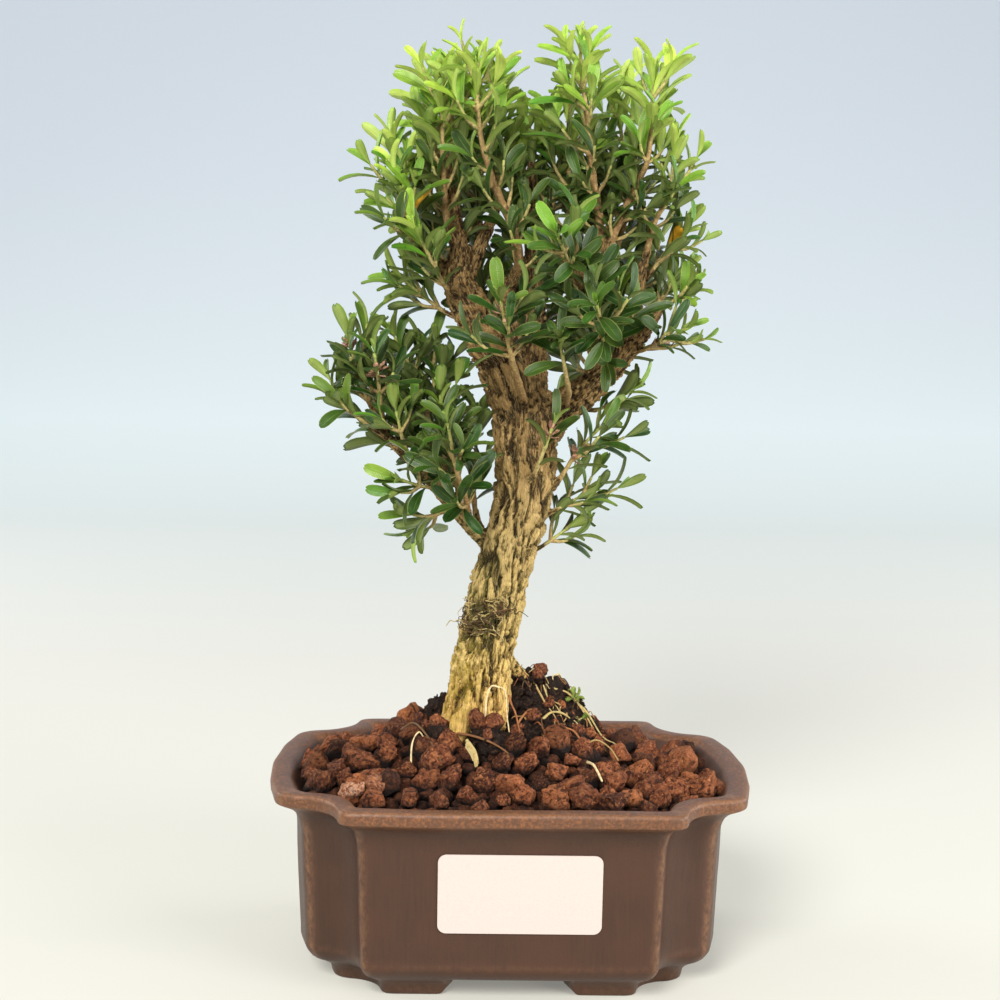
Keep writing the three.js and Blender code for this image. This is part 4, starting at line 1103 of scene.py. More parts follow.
# Roots that flare from the foot, as bars with points like those of the limbs
FLARE_ROOTS = (
    ((-5, 1, 118, 3.4), (0, 3, 111, 2.8), (5, 6, 105.5, 2), (9, 8, 102, 1.3)),
    ((-19, 5, 88, 2.8), (-23.5, 8, 80, 2.6), (-29, 10, 73, 2.2), (-34, 12, 66, 1.8)),
    ((-14, 6, 96, 4), (-13, 12, 86, 3.4), (-12, 18, 78, 2.6), (-12, 24, 70, 2)),
)
TUFT_PLACE = (-11, -8, 132)
TRUNK_SIDES = 40
LIMB_SIDES = 20
STUB_SIDES = 10
# Skin of the joined wood: size of its voxels, and share and rounds of its smoothing
BARK_VOXEL = 0.66
SKIN_FACTOR = 0.5
SKIN_ROUNDS = 5
# Grain: turn round a limb in radians per millimetre, step of the middle line and shift from limb to limb
GRAIN_TWIST = 0.006
GRAIN_STEP = 1.2
GRAIN_SHIFT = 53
# How far round a limb points are looked up, how far its bark counts, and how soon it gives way to another's
WOOD_MARGIN = 6
WOOD_BLEND = 5
WOOD_FADE = 1.1
# Height where the bark's tones start to change, and the rise over which they do
BARK_ZONE = (84, 150)


def flakes(places, seed):
    """For each place: gap to the edge of its flake, the flake's own chance, and height within it."""
    cell = np.floor(places)
    first, second = np.full(len(places), 9.0), np.full(len(places), 9.0)
    chance, lift = np.zeros(len(places)), np.zeros(len(places))
    for corner in range(27):
        corner_cell = cell + np.array([corner % 3 - 1, corner // 3 % 3 - 1, corner // 9 - 1])
        index = (corner_cell.astype(np.int64) + 100000).astype(np.uint64)
        columns = [index[:, axis] for axis in range(3)]
        shift = [0.5 + 0.42 * lattice(*columns, seed + axis) for axis in range(3)]
        middle = corner_cell + np.column_stack(shift)
        away = places - middle
        distance = np.linalg.norm(away, axis=1)
        nearer = distance < first
        second = np.where(nearer, first, np.minimum(second, distance))
        first = np.where(nearer, distance, first)
        chance = np.where(nearer, 0.5 + 0.5 * lattice(*columns, seed + 3), chance)
        lift = np.where(nearer, away[:, 2], lift)
    return second - first, chance, lift


def bark_relief(grain, size, shaggy):
    """Bark height from 0 in a fissure to 1 on a ridge, for places in straightened wood, and flake chance."""
    warp = np.column_stack([
        noise(grain / np.array([7, 7, 20]), 31), noise(grain / np.array([7, 7, 20]), 32),
        noise(grain / np.array([6, 6, 14]), 33) * 4,
    ])
    bent = (grain + warp * 1.5) * size[:, None]
    wide = np.minimum(np.abs(noise(bent / np.array([2.9, 2.9, 26]), 41)) / 0.4, 1) ** 0.8
    narrow = np.minimum(np.abs(noise(bent / np.array([1.9, 1.9, 11]), 42)) / 0.4, 1)
    edge, chance, lift = flakes(bent / np.array([1.7, 1.7, 5.6]), 46)
    breaks = ease(0.0, 0.3, edge)
    fine = layered_noise(bent / np.array([1.3, 1.3, 4.2]), 2, 45)
    height = 0.46 * wide + 0.2 * narrow * (0.4 + 0.6 * wide) + 0.2 * breaks * (0.5 + 0.5 * wide)
    height += shaggy * (0.26 * (chance - 0.5) + 0.24 * lift * (0.3 + 0.7 * wide) + 0.14 * fine)
    return np.clip(height, -0.15, 1.15), chance


def add_trunk_core(shape):
    """Plain oval bar of the trunk; returns its line with its mean radius."""
    line = smooth_line(TRUNK, 6)
    widths = np.interp(line["length"], line["length"][::6], [p[3] for p in TRUNK])
    depths = np.interp(line["length"], line["length"][::6], [p[4] for p in TRUNK])
    angle = np.arange(TRUNK_SIDES) * 2 * math.pi / TRUNK_SIDES
    level = np.zeros((len(widths), TRUNK_SIDES))
    away = np.stack([widths[:, None] * np.cos(angle), depths[:, None] * np.sin(angle), level], axis=-1)
    shape.add_rings(line["place"][:, None] + away, (line["place"][0], line["place"][-1]))
    line["radius"] = (widths + depths) / 2
    return line


def trunk_piece():
    """Plain bars of all the wood, joined and remeshed into one skin, with the bark carved in it."""
    shape = Shape()
    lines = [add_trunk_core(shape)]
    for points in (*LIMBS, *FLARE_ROOTS):
        line = wood_line(points, 8)
        shape.add(*tube(line, line["radius"], LIMB_SIDES))
        lines.append(line)
    for shoot in SHOOT_LINES:
        stub = stub_line(shoot)
        shape.add(*tube(stub, stub["radius"], STUB_SIDES))
        lines.append(stub)
    piece = shape.build("trunk_bark", [BARK], ["trunk"])
    remesh = piece.modifiers.new("skin", "REMESH")
    remesh.mode = "VOXEL"
    remesh.voxel_size = BARK_VOXEL * MM
    smoothing = piece.modifiers.new("soften", "SMOOTH")
    smoothing.factor = SKIN_FACTOR
    smoothing.iterations = SKIN_ROUNDS
    apply_modifiers(piece)
    carve_bark(piece, lines)
    return piece


def along_line(line, name, distances):
    """Places or sides of a line at distances along it."""
    return np.column_stack([np.interp(distances, line["length"], line[name][:, axis]) for axis in range(3)])


def bark_field(places, lines):
    """Carving height, girth, grain coordinates and flake chance at each place, from the limbs round it."""
    count = len(places)
    weights = np.zeros(count)
    height = np.zeros(count)
    girth = np.zeros(count)
    grain = np.zeros((count, 3))
    flake = np.zeros(count)
    best = np.full(count, 1e9)
    for number, line in enumerate(lines):
        low = line["place"].min(0) - line["radius"].max() - WOOD_MARGIN
        high = line["place"].max(0) + line["radius"].max() + WOOD_MARGIN
        near = np.where(np.all((places > low) & (places < high), axis=1))[0]
        if not len(near):
            continue
        fine = np.linspace(0, line["length"][-1], max(8, int(line["length"][-1] / GRAIN_STEP)))
        middle = along_line(line, "place", fine)
        radius = np.interp(fine, line["length"], line["radius"])
        gap = np.linalg.norm(places[near][:, None] - middle[None], axis=2) - radius[None]
        closest = np.argmin(gap, axis=1)
        gap = gap[np.arange(len(near)), closest]
        reached = gap < WOOD_BLEND
        near, closest, gap = near[reached], closest[reached], gap[reached]
        # Frame of the nearest place on the middle line, and coordinates round and along the limb
        side = along_line(line, "side", fine)[closest]
        along = units(np.gradient(middle, axis=0))[closest]
        side = units(side - along * np.sum(side * along, axis=1)[:, None])
        other = np.cross(along, side)
        away = places[near] - middle[closest]
        turn = np.arctan2(np.sum(away * other, axis=1), np.sum(away * side, axis=1))
        turn += GRAIN_TWIST * fine[closest]
        size = radius[closest]
        far = fine[closest] + np.sum(away * along, axis=1)
        own = np.column_stack([size * np.cos(turn), size * np.sin(turn), far + GRAIN_SHIFT * number])
        shaggy = 1 + 0.9 * ease(140, 205, places[near][:, 2])
        relief, chance = bark_relief(own, np.clip((9 / size) ** 0.55, 0.9, 2.4), shaggy)
        weight = np.exp(-np.clip(gap, -8, 30) / WOOD_FADE)
        weights[near] += weight
        height[near] += weight * relief
        girth[near] += weight * size
        closer = gap < best[near]
        grain[near[closer]] = own[closer]
        flake[near[closer]] = chance[closer]
        best[near[closer]] = gap[closer]
    weights = np.maximum(weights, 1e-12)
    return height / weights, girth / weights, grain, flake


def vectors(collection, field):
    """Rows of three numbers read from a collection of mesh data."""
    values = np.empty(len(collection) * 3)
    collection.foreach_get(field, values)
    return values.reshape(-1, 3)


def carve_bark(piece, lines):
    """Moves the skin's points in and out to ridges, furrows, knobs and the hollow of the tuft."""
    mesh = piece.data
    places = vectors(mesh.vertices, "co") / MM
    normals = vectors(mesh.vertex_normals, "vector")
    height, girth, grain, flake = bark_field(places, lines)
    tuft = np.linalg.norm(places - np.array(TUFT_PLACE), axis=1)
    height -= 0.6 * np.exp(-(tuft / 6.5) ** 2)
    # Thick wood has deeper furrows
    depth = np.clip(0.34 * girth, 0.3, 3.4)
    lift = (height - 0.55) * depth
    for x, y, z, reach, rise in KNOBS:
        away = np.linalg.norm(places - np.array([x, y, z]), axis=1)
        lift += rise * np.exp(-(away / reach) ** 2) * (0.3 + 1.1 * height)
    places += normals * lift[:, None]
    mesh.vertices.foreach_set("co", (places * MM).ravel())
    mesh.update()
    level = places[:, 2]
    zone = np.clip((level - BARK_ZONE[0]) / BARK_ZONE[1], 0, 1)
    # Moss grows on the left side, most of it low on the trunk
    mossy = (0.25 + np.exp(-((level - 116) / 26) ** 2)) * ease(0.35, -0.45, normals[:, 0])
    mossy *= 1 - 0.6 * ease(150, 215, level)
    layers = {"height": height, "zone": zone, "moss": np.clip(mossy, 0, 1), "flake": flake, "grain": grain}
    for name, values in layers.items():
        set_layer(mesh, name, values)
    mesh.polygons.foreach_set("use_smooth", np.ones(len(mesh.polygons), bool))
    mesh.materials.clear()
    mesh.materials.append(BARK)


# Shoots

def stub_reach(line):
    """Distances along a shoot between which it is a bare stub, from inside the wood to clear of it."""
    total = line["length"][-1]
    root, end = 0, STUB_STEP
    while end < total * STUB_SHARE and in_wood(walk(line, end)[0], STUB_REACH):
        if in_wood(walk(line, end)[0], -STUB_DEPTH):
            root = max(end - STUB_SINK, 0)
        end += STUB_STEP
    return root, end


def shoot_lines():
    shoots = []
    for zone, group in SHOOTS.items():
        for number, points in enumerate(group):
            line = smooth_line(points, 6)
            root, stub = stub_reach(line)
            shoots.append({
                "node": f"shoot_{zone}_{number + 1:02d}", "zone": zone, "line": line,
                "total": line["length"][-1], "root": root, "stub": stub,
                "turn": spread(0, 360, len(shoots), 20),
            })
    return shoots


def stem_radius(total, distance):
    """Radius of a shoot's stem, which thickens from its tip down."""
    return 0.5 + 0.0165 * (total - distance)


def part_line(line, start, end, step):
    """Part of a framed line between two distances."""
    count = max(3, int(round((end - start) / step)) + 1)
    return framed_line(np.array([walk(line, d)[0] for d in np.linspace(start, end, count)]))


def stub_line(shoot):
    end = shoot["stub"] + 1
    stub = part_line(shoot["line"], shoot["root"], end, 1.2)
    far = np.linspace(shoot["root"], end, len(stub["place"]))
    stub["radius"] = stem_radius(shoot["total"], far) + STUB_MORE
    return stub


SHOOT_LINES = shoot_lines()


def leaf_template():
    """Grid coordinates of the two faces of a blade and the faces that join them, round one shared border."""
    rows, columns = len(LEAF_ROWS), len(LEAF_COLUMNS)
    share, width = np.repeat(np.array(LEAF_ROWS, float), columns, axis=0).T
    across = np.tile(np.array(LEAF_COLUMNS, float), rows)
    upper = grid_faces(rows, columns)
    inner = [r * columns + c for r in range(1, rows - 1) for c in range(1, columns - 1)]
    lower_of = np.arange(rows * columns)
    lower_of[inner] = rows * columns + np.arange(len(inner))
    lower = lower_of[upper][:, ::-1]
    both = np.concatenate([np.arange(rows * columns), inner])
    under = np.concatenate([np.zeros(rows * columns), np.ones(len(inner))])
    return share[both], width[both], across[both], under, [upper, lower]


LEAF_SHARE, LEAF_SPAN, LEAF_ACROSS, LEAF_UNDER, LEAF_FACES = leaf_template()


def add_leaf(shape, root, out, up, scale, age_and_shade, chance, accent=0.0, slim=1.0, curl=0.0, roll=0.0, slot=0):
    """One blade with a stalk end at root, pointing out, with its upper face towards up."""
    across = unit(np.cross(out, up))
    length, half = LEAF_LENGTH * scale, LEAF_WIDTH * scale * slim / 2
    s, u = LEAF_SHARE, LEAF_ACROSS
    notch = LEAF_NOTCH * length * (1 - np.abs(u)) ** 1.5 * ease(0.86, 1.0, s)
    forward = length * s - notch
    side = half * LEAF_SPAN * u
    fold = LEAF_KEEL * scale * ease(0, 0.3, s) * (1.3 * np.abs(u) - 0.5 * u * u - 0.35)
    arch = length * (LEAF_ARCH * np.sin(math.pi * s) - curl * np.clip(s - 0.35, 0, 1) ** 2)
    twist = roll * s
    lift = fold + arch + side * np.sin(twist) - LEAF_UNDER * LEAF_THICKNESS
    points = root + out * forward[:, None] + across * (side * np.cos(twist))[:, None] + up * lift[:, None]
    shape.add(
        points, LEAF_FACES, slot,
        blade=np.column_stack([u, s, LEAF_UNDER]),
        kind=np.array([age_and_shade, chance, accent]),
        wood=0.0,
    )


def add_pair(shape, line, distance, turn, rise, scale, age_and_shade, keys, accent=0.0, slim=1.0):
    """One leaf of a pair, unless it would be in the wood; shortened where it would leave the crown."""
    place, along, side, other = walk(line, distance)
    angle, lean = math.radians(turn), math.radians(rise)
    away = side * math.cos(angle) + other * math.sin(angle)
    out = along * math.cos(lean) + away * math.sin(lean)
    up = along * math.sin(lean) - away * math.cos(lean)
    tip = place + out * LEAF_LENGTH * scale
    reach = np.interp(tip[2], *CROWN_REACH)
    beyond = max(tip[0] - reach, tip[2] - CROWN_TOPS[0 if tip[0] < 0 else 1])
    if beyond > 0:
        scale *= max(0.6, 1 - beyond / (LEAF_LENGTH * scale))
    if in_wood(tip, 0.3) or in_wood((tip + place) / 2, 0.3):
        return
    shade = np.clip(age_and_shade + spread(-0.12, 0.16, *keys, 61), 0, 1)
    add_leaf(
        shape, place, out, up, scale, shade, draw(*keys, 62), accent,
        slim * spread(0.78, 1.0, *keys, 63), spread(-0.08, 0.17, *keys, 64), spread(-0.5, 0.5, *keys, 65),
    )


def add_stem(shape, line, radii, woods, sides=7):
    wood = np.concatenate([np.repeat(woods, sides), [woods[-1], woods[0]]])
    shape.add(*tube(line, radii, sides), 1, wood=wood, blade=(0, 0, 0), kind=(0, 0, 0))


# Stem of a shoot: how far it goes back into its stub, how far it ends before the tip, and its steps
STEM_SINK = 0.5
STEM_END = 0.4
STEM_STEP = 2.4
# Swelling of a stem at each pair of leaves: height and reach
NODE_SWELLING = 0.22
NODE_REACH = 1.1
# The first pair sits this far before the tip, and is more upright than the next
TIP_INSET = 0.8
FIRST_PAIR_CLOSED = 9
# Side shoots: chance of one at a shoot's first, second and lower pairs, lean from it and length
SIDE_CHANCE = (0, 0.55, 0.9)
ZONE_SIDE_CHANCE = {"trunk_right": 0.7, "back": 1}
SIDE_LEAN = (32, 60)
SIDE_LENGTH = (8, 17)
SIDE_PAIR_SPACING = 5.4
# Angle between their leaves and stem at the tip, and what it gains down to the third pair
SIDE_TIP_ANGLE = 32
SIDE_ANGLE_GAIN = 24
# How much older than by their place the leaves of a zone are, which also darkens them as painted shade
ZONE_AGE_AND_SHADE = {"front": 0.22, "low_left": 0.1, "trunk_right": 0.24, "back": 0.2}
# Extra pairs set halfway between the uppermost ones
CLOSE_PAIRS = 3
# The open place before the fork, where stems are bare: middle across, half width, top and distance forward
FORK_FRONT = (8, 20, 227, 4)
# Side shoots low on the back shoots, which close the view between the limbs
LOW_TWIGS = {"back_02": 4, "back_03": 4}
LOW_TWIG_START = 2.5
# Dried flower heads, swollen knots and odd leaves by shoot: distance along it, then radius, or turn and tint
FLOWER_HEADS = {
    "front_04": (57,), "trunk_right_01": (31,), "trunk_right_04": (33,),
    "low_left_01": (29,), "low_left_03": (23,),
}
KNOTS = {
    "crown_left_03": ((43, 2), (69, 1.3), (71, 1.1)),
    "crown_right_01": ((40, 1.7), (43, 1.3)),
    "front_03": ((22, 1.4),),
}
ODD_LEAVES = {
    "crown_left_07": ((17, 190, 0.75),),
    "crown_right_07": ((17, 80, 0.75),),
    "crown_right_10": ((9, 260, 1), (13, 80, 1)),
}


def before_fork(place):
    middle, half_width, top, forward = FORK_FRONT
    return abs(place[0] - middle) < half_width and place[1] < -forward and place[2] < top


def shoot_piece(index, shoot):
    shape = Shape()
    name = shoot["node"].removeprefix("shoot_")
    add_shoot_stem(shape, shoot)
    add_shoot_leaves(shape, index, shoot)
    add_shoot_extras(shape, index, shoot, name)
    return shape.build(f"spray_{name}", [LEAF, TWIG, DRIED], [shoot["node"]], sharp=65)


def add_shoot_stem(shape, shoot):
    total = shoot["total"]
    start, end = shoot["stub"] - STEM_SINK, total - STEM_END
    stem = part_line(shoot["line"], start, end, STEM_STEP)
    far = np.linspace(start, end, len(stem["place"]))
    half = PAIR_SPACING / 2
    from_pair = ((total - TIP_INSET - far) + half) % PAIR_SPACING - half
    swelling = NODE_SWELLING * np.exp(-(from_pair / NODE_REACH) ** 2)
    add_stem(shape, stem, stem_radius(total, far) + swelling, np.clip((total - far) / 38, 0, 1))


def add_shoot_leaves(shape, index, shoot):
    """Pairs of leaves and side shoots from the tip down, and an unopened pair at the very tip."""
    line, total, stub, zone = shoot["line"], shoot["total"], shoot["stub"], shoot["zone"]
    pair = 0
    while total - TIP_INSET - pair * PAIR_SPACING > stub + 0.5:
        distance = total - TIP_INSET - pair * PAIR_SPACING
        open_place = before_fork(walk(line, distance)[0])
        if open_place and zone == "front":
            break
        opening = min(pair / 4, 1)
        for side in range(2):
            part = (index, pair, side)
            turn = shoot["turn"] + pair * 90 + side * 180 + spread(-12, 12, *part, 21)
            rise = TIP_ANGLE - (FIRST_PAIR_CLOSED if pair == 0 else 0)
            rise += (BASE_ANGLE - TIP_ANGLE) * opening
            rise += spread(-7, 7, *part, 22)
            scale = (TIP_SCALE if pair == 0 else 1) * spread(0.86, 1.12, *part, 23)
            add_pair(shape, line, distance, turn, rise, scale, leaf_age_and_shade(shoot, distance, pair), part)
            chance = ZONE_SIDE_CHANCE.get(zone, SIDE_CHANCE[min(pair, 2)])
            if draw(*part, 70) < chance and not open_place:
                add_side_shoot(shape, shoot, part, distance, turn)
            between = distance - PAIR_SPACING / 2
            if pair < CLOSE_PAIRS and between > stub and not open_place:
                keys = (index, pair + 40, side)
                scale *= spread(0.78, 0.95, *keys, 24)
                # The leaf opposite opens by the age of this one, which also carries painted shade
                opening = leaf_age_and_shade(shoot, distance, pair + 0.5)
                close_turn = turn + spread(35, 55, *keys, 25)
                add_pair(shape, line, between, close_turn, rise + 6, scale, opening, keys)
        pair += 1
    for side in range(2):
        turn = shoot["turn"] - 90 + side * 180
        age_and_shade = 0.7 * leaf_age_and_shade(shoot, total, 0)
        add_pair(shape, line, total - STEM_END, turn, 15, 0.42, age_and_shade, (index, 90, side), slim=0.8)


def add_shoot_extras(shape, index, shoot, name):
    """Low side shoots, dried flower heads, knots and odd leaves that only some shoots have."""
    line = shoot["line"]
    for side in range(LOW_TWIGS.get(name, 0)):
        distance = shoot["stub"] + LOW_TWIG_START + 2 * (side % 2)
        add_side_shoot(shape, shoot, (index, 80, side), distance, shoot["turn"] + side * 90)
    for distance in FLOWER_HEADS.get(name, ()):
        add_flower_head(shape, walk(line, distance), (index, int(distance)))
    for distance, radius in KNOTS.get(name, ()):
        place, _, side, _ = walk(line, distance)
        add_lump(
            shape, place + side * radius * 0.5, radius, 2, (index, int(distance), 26), 0.5,
            slot=1, wood=0.75, blade=(0, 0, 0), kind=(0, 0, 0),
        )
    for distance, turn, tint in ODD_LEAVES.get(name, ()):
        add_pair(shape, line, distance, turn, 55, 0.85, 0.4, (index, int(distance), 27), accent=tint)


def add_flower_head(shape, frame, keys):
    """Knot of dry pointed scales round a stem."""
    place, along, side, other = frame
    for scale in range(15):
        turn = spread(0, 2 * math.pi, *keys, scale, 28)
        lean = math.radians(spread(5, 115, *keys, scale, 29))
        away = side * math.cos(turn) + other * math.sin(turn)
        out = along * math.cos(lean) + away * math.sin(lean)
        root = place + out * 0.5 + along * spread(-1.5, 1.5, *keys, scale, 30)
        up = along * math.sin(lean) - away * math.cos(lean)
        size = spread(0.17, 0.27, *keys, scale, 31)
        add_leaf(shape, root, out, up, size, 1, 0, slim=1.4, curl=-0.6, slot=2)


def leaf_age_and_shade(shoot, distance, pair):
    """Age of a leaf from 0 to 1: young at shoot tips and high in the crown; the darkening lower in the crown
    is partly painted shade.
    """
    height = walk(shoot["line"], distance)[0][2]
    depth = 1 - float(ease(232, 326, np.array(height)))
    return min(pair * (0.11 + 0.1 * depth) + 0.46 * depth + ZONE_AGE_AND_SHADE.get(shoot["zone"], 0), 1)


def add_side_shoot(shape, shoot, keys, distance, turn):
    """Short twig off a shoot, with its own pairs of leaves, unless it would grow into the wood."""
    index, pair, side = keys
    place, along, across, other = walk(shoot["line"], distance)
    angle = math.radians(turn + spread(-14, 14, *keys, 71))
    lean = math.radians(spread(*SIDE_LEAN, *keys, 72))
    away = across * math.cos(angle) + other * math.sin(angle)
    out = along * math.cos(lean) + away * math.sin(lean)
    length = spread(*SIDE_LENGTH, *keys, 73)
    bend = unit(out + 0.4 * np.array([0, 0, 1.0]) + 0.3 * along)
    end = place + unit(out + bend) * length
    if in_wood(end, 2) or in_wood((end + place) / 2, 1):
        return
    twig_line = smooth_line([place, place + out * length * 0.5, end], 4)
    reach = twig_line["length"][-1]
    radii = np.interp(twig_line["length"], [0, reach], [0.85, 0.5])
    base_age_and_shade = leaf_age_and_shade(shoot, distance, pair)
    woods = np.interp(twig_line["length"], [0, reach], [0.5 * base_age_and_shade + 0.2, 0.1])
    add_stem(shape, twig_line, radii, woods, 6)
    count = max(2, int(reach / SIDE_PAIR_SPACING))
    for step in range(count):
        at = reach - 0.5 - step * SIDE_PAIR_SPACING
        if at < 1.5:
            break
        for face in range(2):
            part = (index, pair * 8 + step, side * 2 + face + 7)
            leaf_turn = spread(0, 360, *keys, 74) + step * 90 + face * 180 + spread(-12, 12, *part, 75)
            rise = SIDE_TIP_ANGLE + SIDE_ANGLE_GAIN * min(step / 2, 1) + spread(-7, 7, *part, 76)
            scale = (0.78 if step == 0 else 0.95) * spread(0.84, 1.12, *part, 77)
            age_and_shade = np.clip(base_age_and_shade - 0.15 + 0.12 * step, 0, 1)
            add_pair(shape, twig_line, at, leaf_turn, rise, scale, age_and_shade, part)


# Soil

# Height of the small crests on a lump, as a share of its roughness
CREST_HEIGHT = 0.2
# Clods of peat heaped against the trunk: x, y, height of the middle over the bed and radius
PEAT_CLODS = (
    (-26, 6, 6, 5), (-29, 8, 4, 4.5), (-32, 8, 3, 4), (-35, 8, 2, 4), (-24, 12, 6, 6), (0, 6, 5, 8.5),
    (7, 11, 2, 7), (17, 17, 0.5, 6), (23, 17, 0.5, 5.5), (30, 15, 0, 5), (-9, -19, 4, 6.5),
    (-26.5, -14, 2.5, 5.5), (-3, -17, 2, 5),
)


# Crumbs that stand up from the bare peat
PEAT_CRUMBS = 2400
# Inset and height up the soil's side, and rings of its top from the wall to the middle
SOIL_SIDE = ((21, FLOOR_TOP + GAP), (17.5, FLOOR_TOP + 1 + GAP), (15.2, 22), (INNER_TOP[0], BED_LEVEL - 2))
SOIL_RINGS = 44


def soil_height(x, y):
    """Height of the smooth bed and its mounds."""
    z = np.full(np.shape(x), float(BED_LEVEL))
    for middle_x, middle_y, height, spread_x, spread_y in MOUNDS:
        z = z + height * np.exp(-(((x - middle_x) / spread_x) ** 2 + ((y - middle_y) / spread_y) ** 2) / 2)
    return z


def bed_top(x, y):
    """Height of the soil with the clods of peat heaped on it."""
    top = float(soil_height(x, y))
    for clod_x, clod_y, rise, radius in PEAT_CLODS:
        reach = math.hypot(x - clod_x, y - clod_y)
        if reach < radius:
            middle = float(soil_height(clod_x, clod_y)) + rise
            top = max(top, middle + 0.95 * math.sqrt(radius ** 2 - reach ** 2))
    return top


def trunk_section(z):
    """Middle and half widths of the trunk at a height."""
    stations = np.array(TRUNK, float)
    return [np.interp(z, stations[:, 2], stations[:, axis]) for axis in (0, 1, 3, 4)]


def trunk_gap(x, y, z):
    """Distance of places from the trunk's surface, measured level."""
    at = trunk_section(z)
    share = np.hypot((x - at[0]) / at[2], (y - at[1]) / at[3])
    return (share - 1) * (at[2] + at[3]) / 2


def root_ball_piece():
    """Soil from the floor up, drawn on rings of the cavity's outline."""
    shape = Shape()
    rings = []
    for inset, z in SOIL_SIDE:
        ring = inset_outline(OUTLINE, inset + CAVITY_CLEARANCE)
        rings.append(np.column_stack([ring, np.full(len(ring), float(z))]))
    rim = inset_outline(OUTLINE, INNER_TOP[0] + CAVITY_CLEARANCE)
    for share in np.linspace(1, 0.02, SOIL_RINGS):
        ring = rim * share
        z = soil_height(ring[:, 0], ring[:, 1])
        coarse = layered_noise(np.column_stack([ring / 5, np.zeros(len(ring))]), 3, 51)
        fine = layered_noise(np.column_stack([ring / 1.7, np.zeros(len(ring))]), 2, 52)
        patch = peat_share(ring[:, 0], ring[:, 1])
        relief = (coarse * 1.3 + fine * 0.7) * (0.25 + 0.75 * patch)
        z = z + relief * ease(1.0, 0.93, np.full(len(ring), share))
        rings.append(np.column_stack([ring, z]))
    shape.add_rings(rings, ((0, 0, FLOOR_TOP + GAP), (0, 0, float(soil_height(0.0, 0.0)))))
    for i in range(PEAT_CRUMBS):
        x = PEAT_PATCH[0] + PEAT_PATCH[2] * spread(-1.15, 1.15, i, 80)
        y = PEAT_PATCH[1] + PEAT_PATCH[3] * spread(-1.15, 1.15, i, 81)
        if draw(i, 82) > peat_share(x, y)[0]:
            continue
        z = float(soil_height(x, y))
        if trunk_gap(x, y, z) < 0.5:
            continue
        radius = spread(0.5, 1.5, i, 83) * spread(0.7, 1.3, i, 84)
        add_crumb(shape, (x, y, z + radius * 0.4), radius, (i, 85))
    for number, (x, y, rise, radius) in enumerate(PEAT_CLODS):
        add_clod(shape, (x, y, float(soil_height(x, y)) + rise), radius, number)
    return shape.build("peat_ball", [PEAT], ["root_ball"])


def add_clod(shape, place, radius, number):
    """Rough heap of peat with crumbs all over it."""
    add_lump(shape, place, radius, 3, (number, 86), 0.5, (0.85, 1.15))
    for crumb in range(int(3.6 * radius ** 2)):
        out = turning(number, crumb, 87)[0]
        if out[2] < -0.2:
            continue
        size = spread(0.4, 1.5, number, crumb, 88) * spread(0.7, 1.1, number, crumb, 78)
        middle = np.array(place) + out * radius * spread(0.84, 1.04, number, crumb, 89)
        add_crumb(shape, middle, size, (number, crumb, 79))


def add_crumb(shape, place, radius, keys):
    add_lump(shape, place, radius, 0 if radius < 0.8 else 1, keys, 0.9, (0.6, 1.5), cuts=3)


def peat_share(x, y):
    """1 where the peat lies bare, falling to 0 under the grit."""
    middle_x, middle_y, half_x, half_y = PEAT_PATCH
    reach = np.hypot((x - middle_x) / half_x, (y - middle_y) / half_y)
    places = np.column_stack([np.atleast_1d(x) / 9, np.atleast_1d(y) / 9, np.zeros(np.size(x))])
    return ease(1.08, 0.9, np.atleast_1d(reach) + noise(places, 53) * 0.14)


def add_lump(shape, place, radius, level, keys, roughness, stretch=(0.8, 1.25), cuts=0, slot=0, **layers):
    """Rough lump: a ball turned, stretched, pushed in and out by noise and cut flat here and there."""
    points, faces = BALLS[level]
    sizes = np.array([spread(*stretch, *keys, axis + 1) for axis in range(3)]) * (1, 1, 0.9)
    offset = np.array([spread(0, 90, *keys, axis + 4) for axis in range(3)])
    swell = 1 + roughness * noise(points * 1.1 + offset, 3) * 0.7
    swell += roughness * 0.3 * noise(points * 2.6 + offset, 4)
    crest = 0.5 * noise(points * 4.3 + offset, 5)
    if level > 1:
        crest += 0.4 * noise(points * 7.7 + offset, 6)
    if level > 2:
        crest += 0.3 * noise(points * 12.5 + offset, 7)
    body = points * swell[:, None] * sizes
    for cut in range(cuts):
        normal = turning(*keys, 20 + cut)[0]
        over = np.maximum(body @ normal - spread(0.48, 0.82, *keys, 40 + cut), 0)
        body = body - over[:, None] * normal * 0.95
    body += points * (roughness * CREST_HEIGHT * crest)[:, None]
    body = body @ turning(*keys).T * radius
    if "tone" in layers:
        tint, damp_and_shade = layers["tone"]
        # Painted shade: the lower part of each lump is darkened through its damp tone; the third number is
        # the crest height, painted as shade and highlight
        under = 1.2 * ease(0.25, -0.6, body[:, 2] / radius)
        layers["tone"] = np.column_stack([np.full(len(points), tint), damp_and_shade + under, 0.5 + crest])
    shape.add(body + np.array(place), [faces], slot, **layers)


# Lava grains on top and under them: distance between neighbours, and how many of them to each side
GRAIN_PITCH = 10.8
GRAIN_RANGE = 10
UNDER_PITCH = 6.4
UNDER_RANGE = 16
# Grains that lie on the bare peat and by the trunk: x, y and radius
PEAT_GRAINS = (
    (11.5, 12, 3.4), (10, 7, 2.7), (15, 6, 3.2), (20, 9.5, 2.2), (8, -1, 3.4), (-12, -18.5, 4.4),
    (-6.5, -18.5, 4.3), (26, 4, 3.7), (30, 8, 2.8), (14.5, -5.5, 2.3), (1.5, -14.5, 3.8), (4, -5, 2),
    (22, -1, 2.4), (34, 10, 3.6), (-27.2, -13.5, 4), (-31, -7, 3.4), (33, 3, 3.2), (17, 1.5, 1.6),
    (24, 11, 1.8), (-24.5, -19, 3.5), (-9, -24.5, 2.4), (-17, -22.5, 3),
)
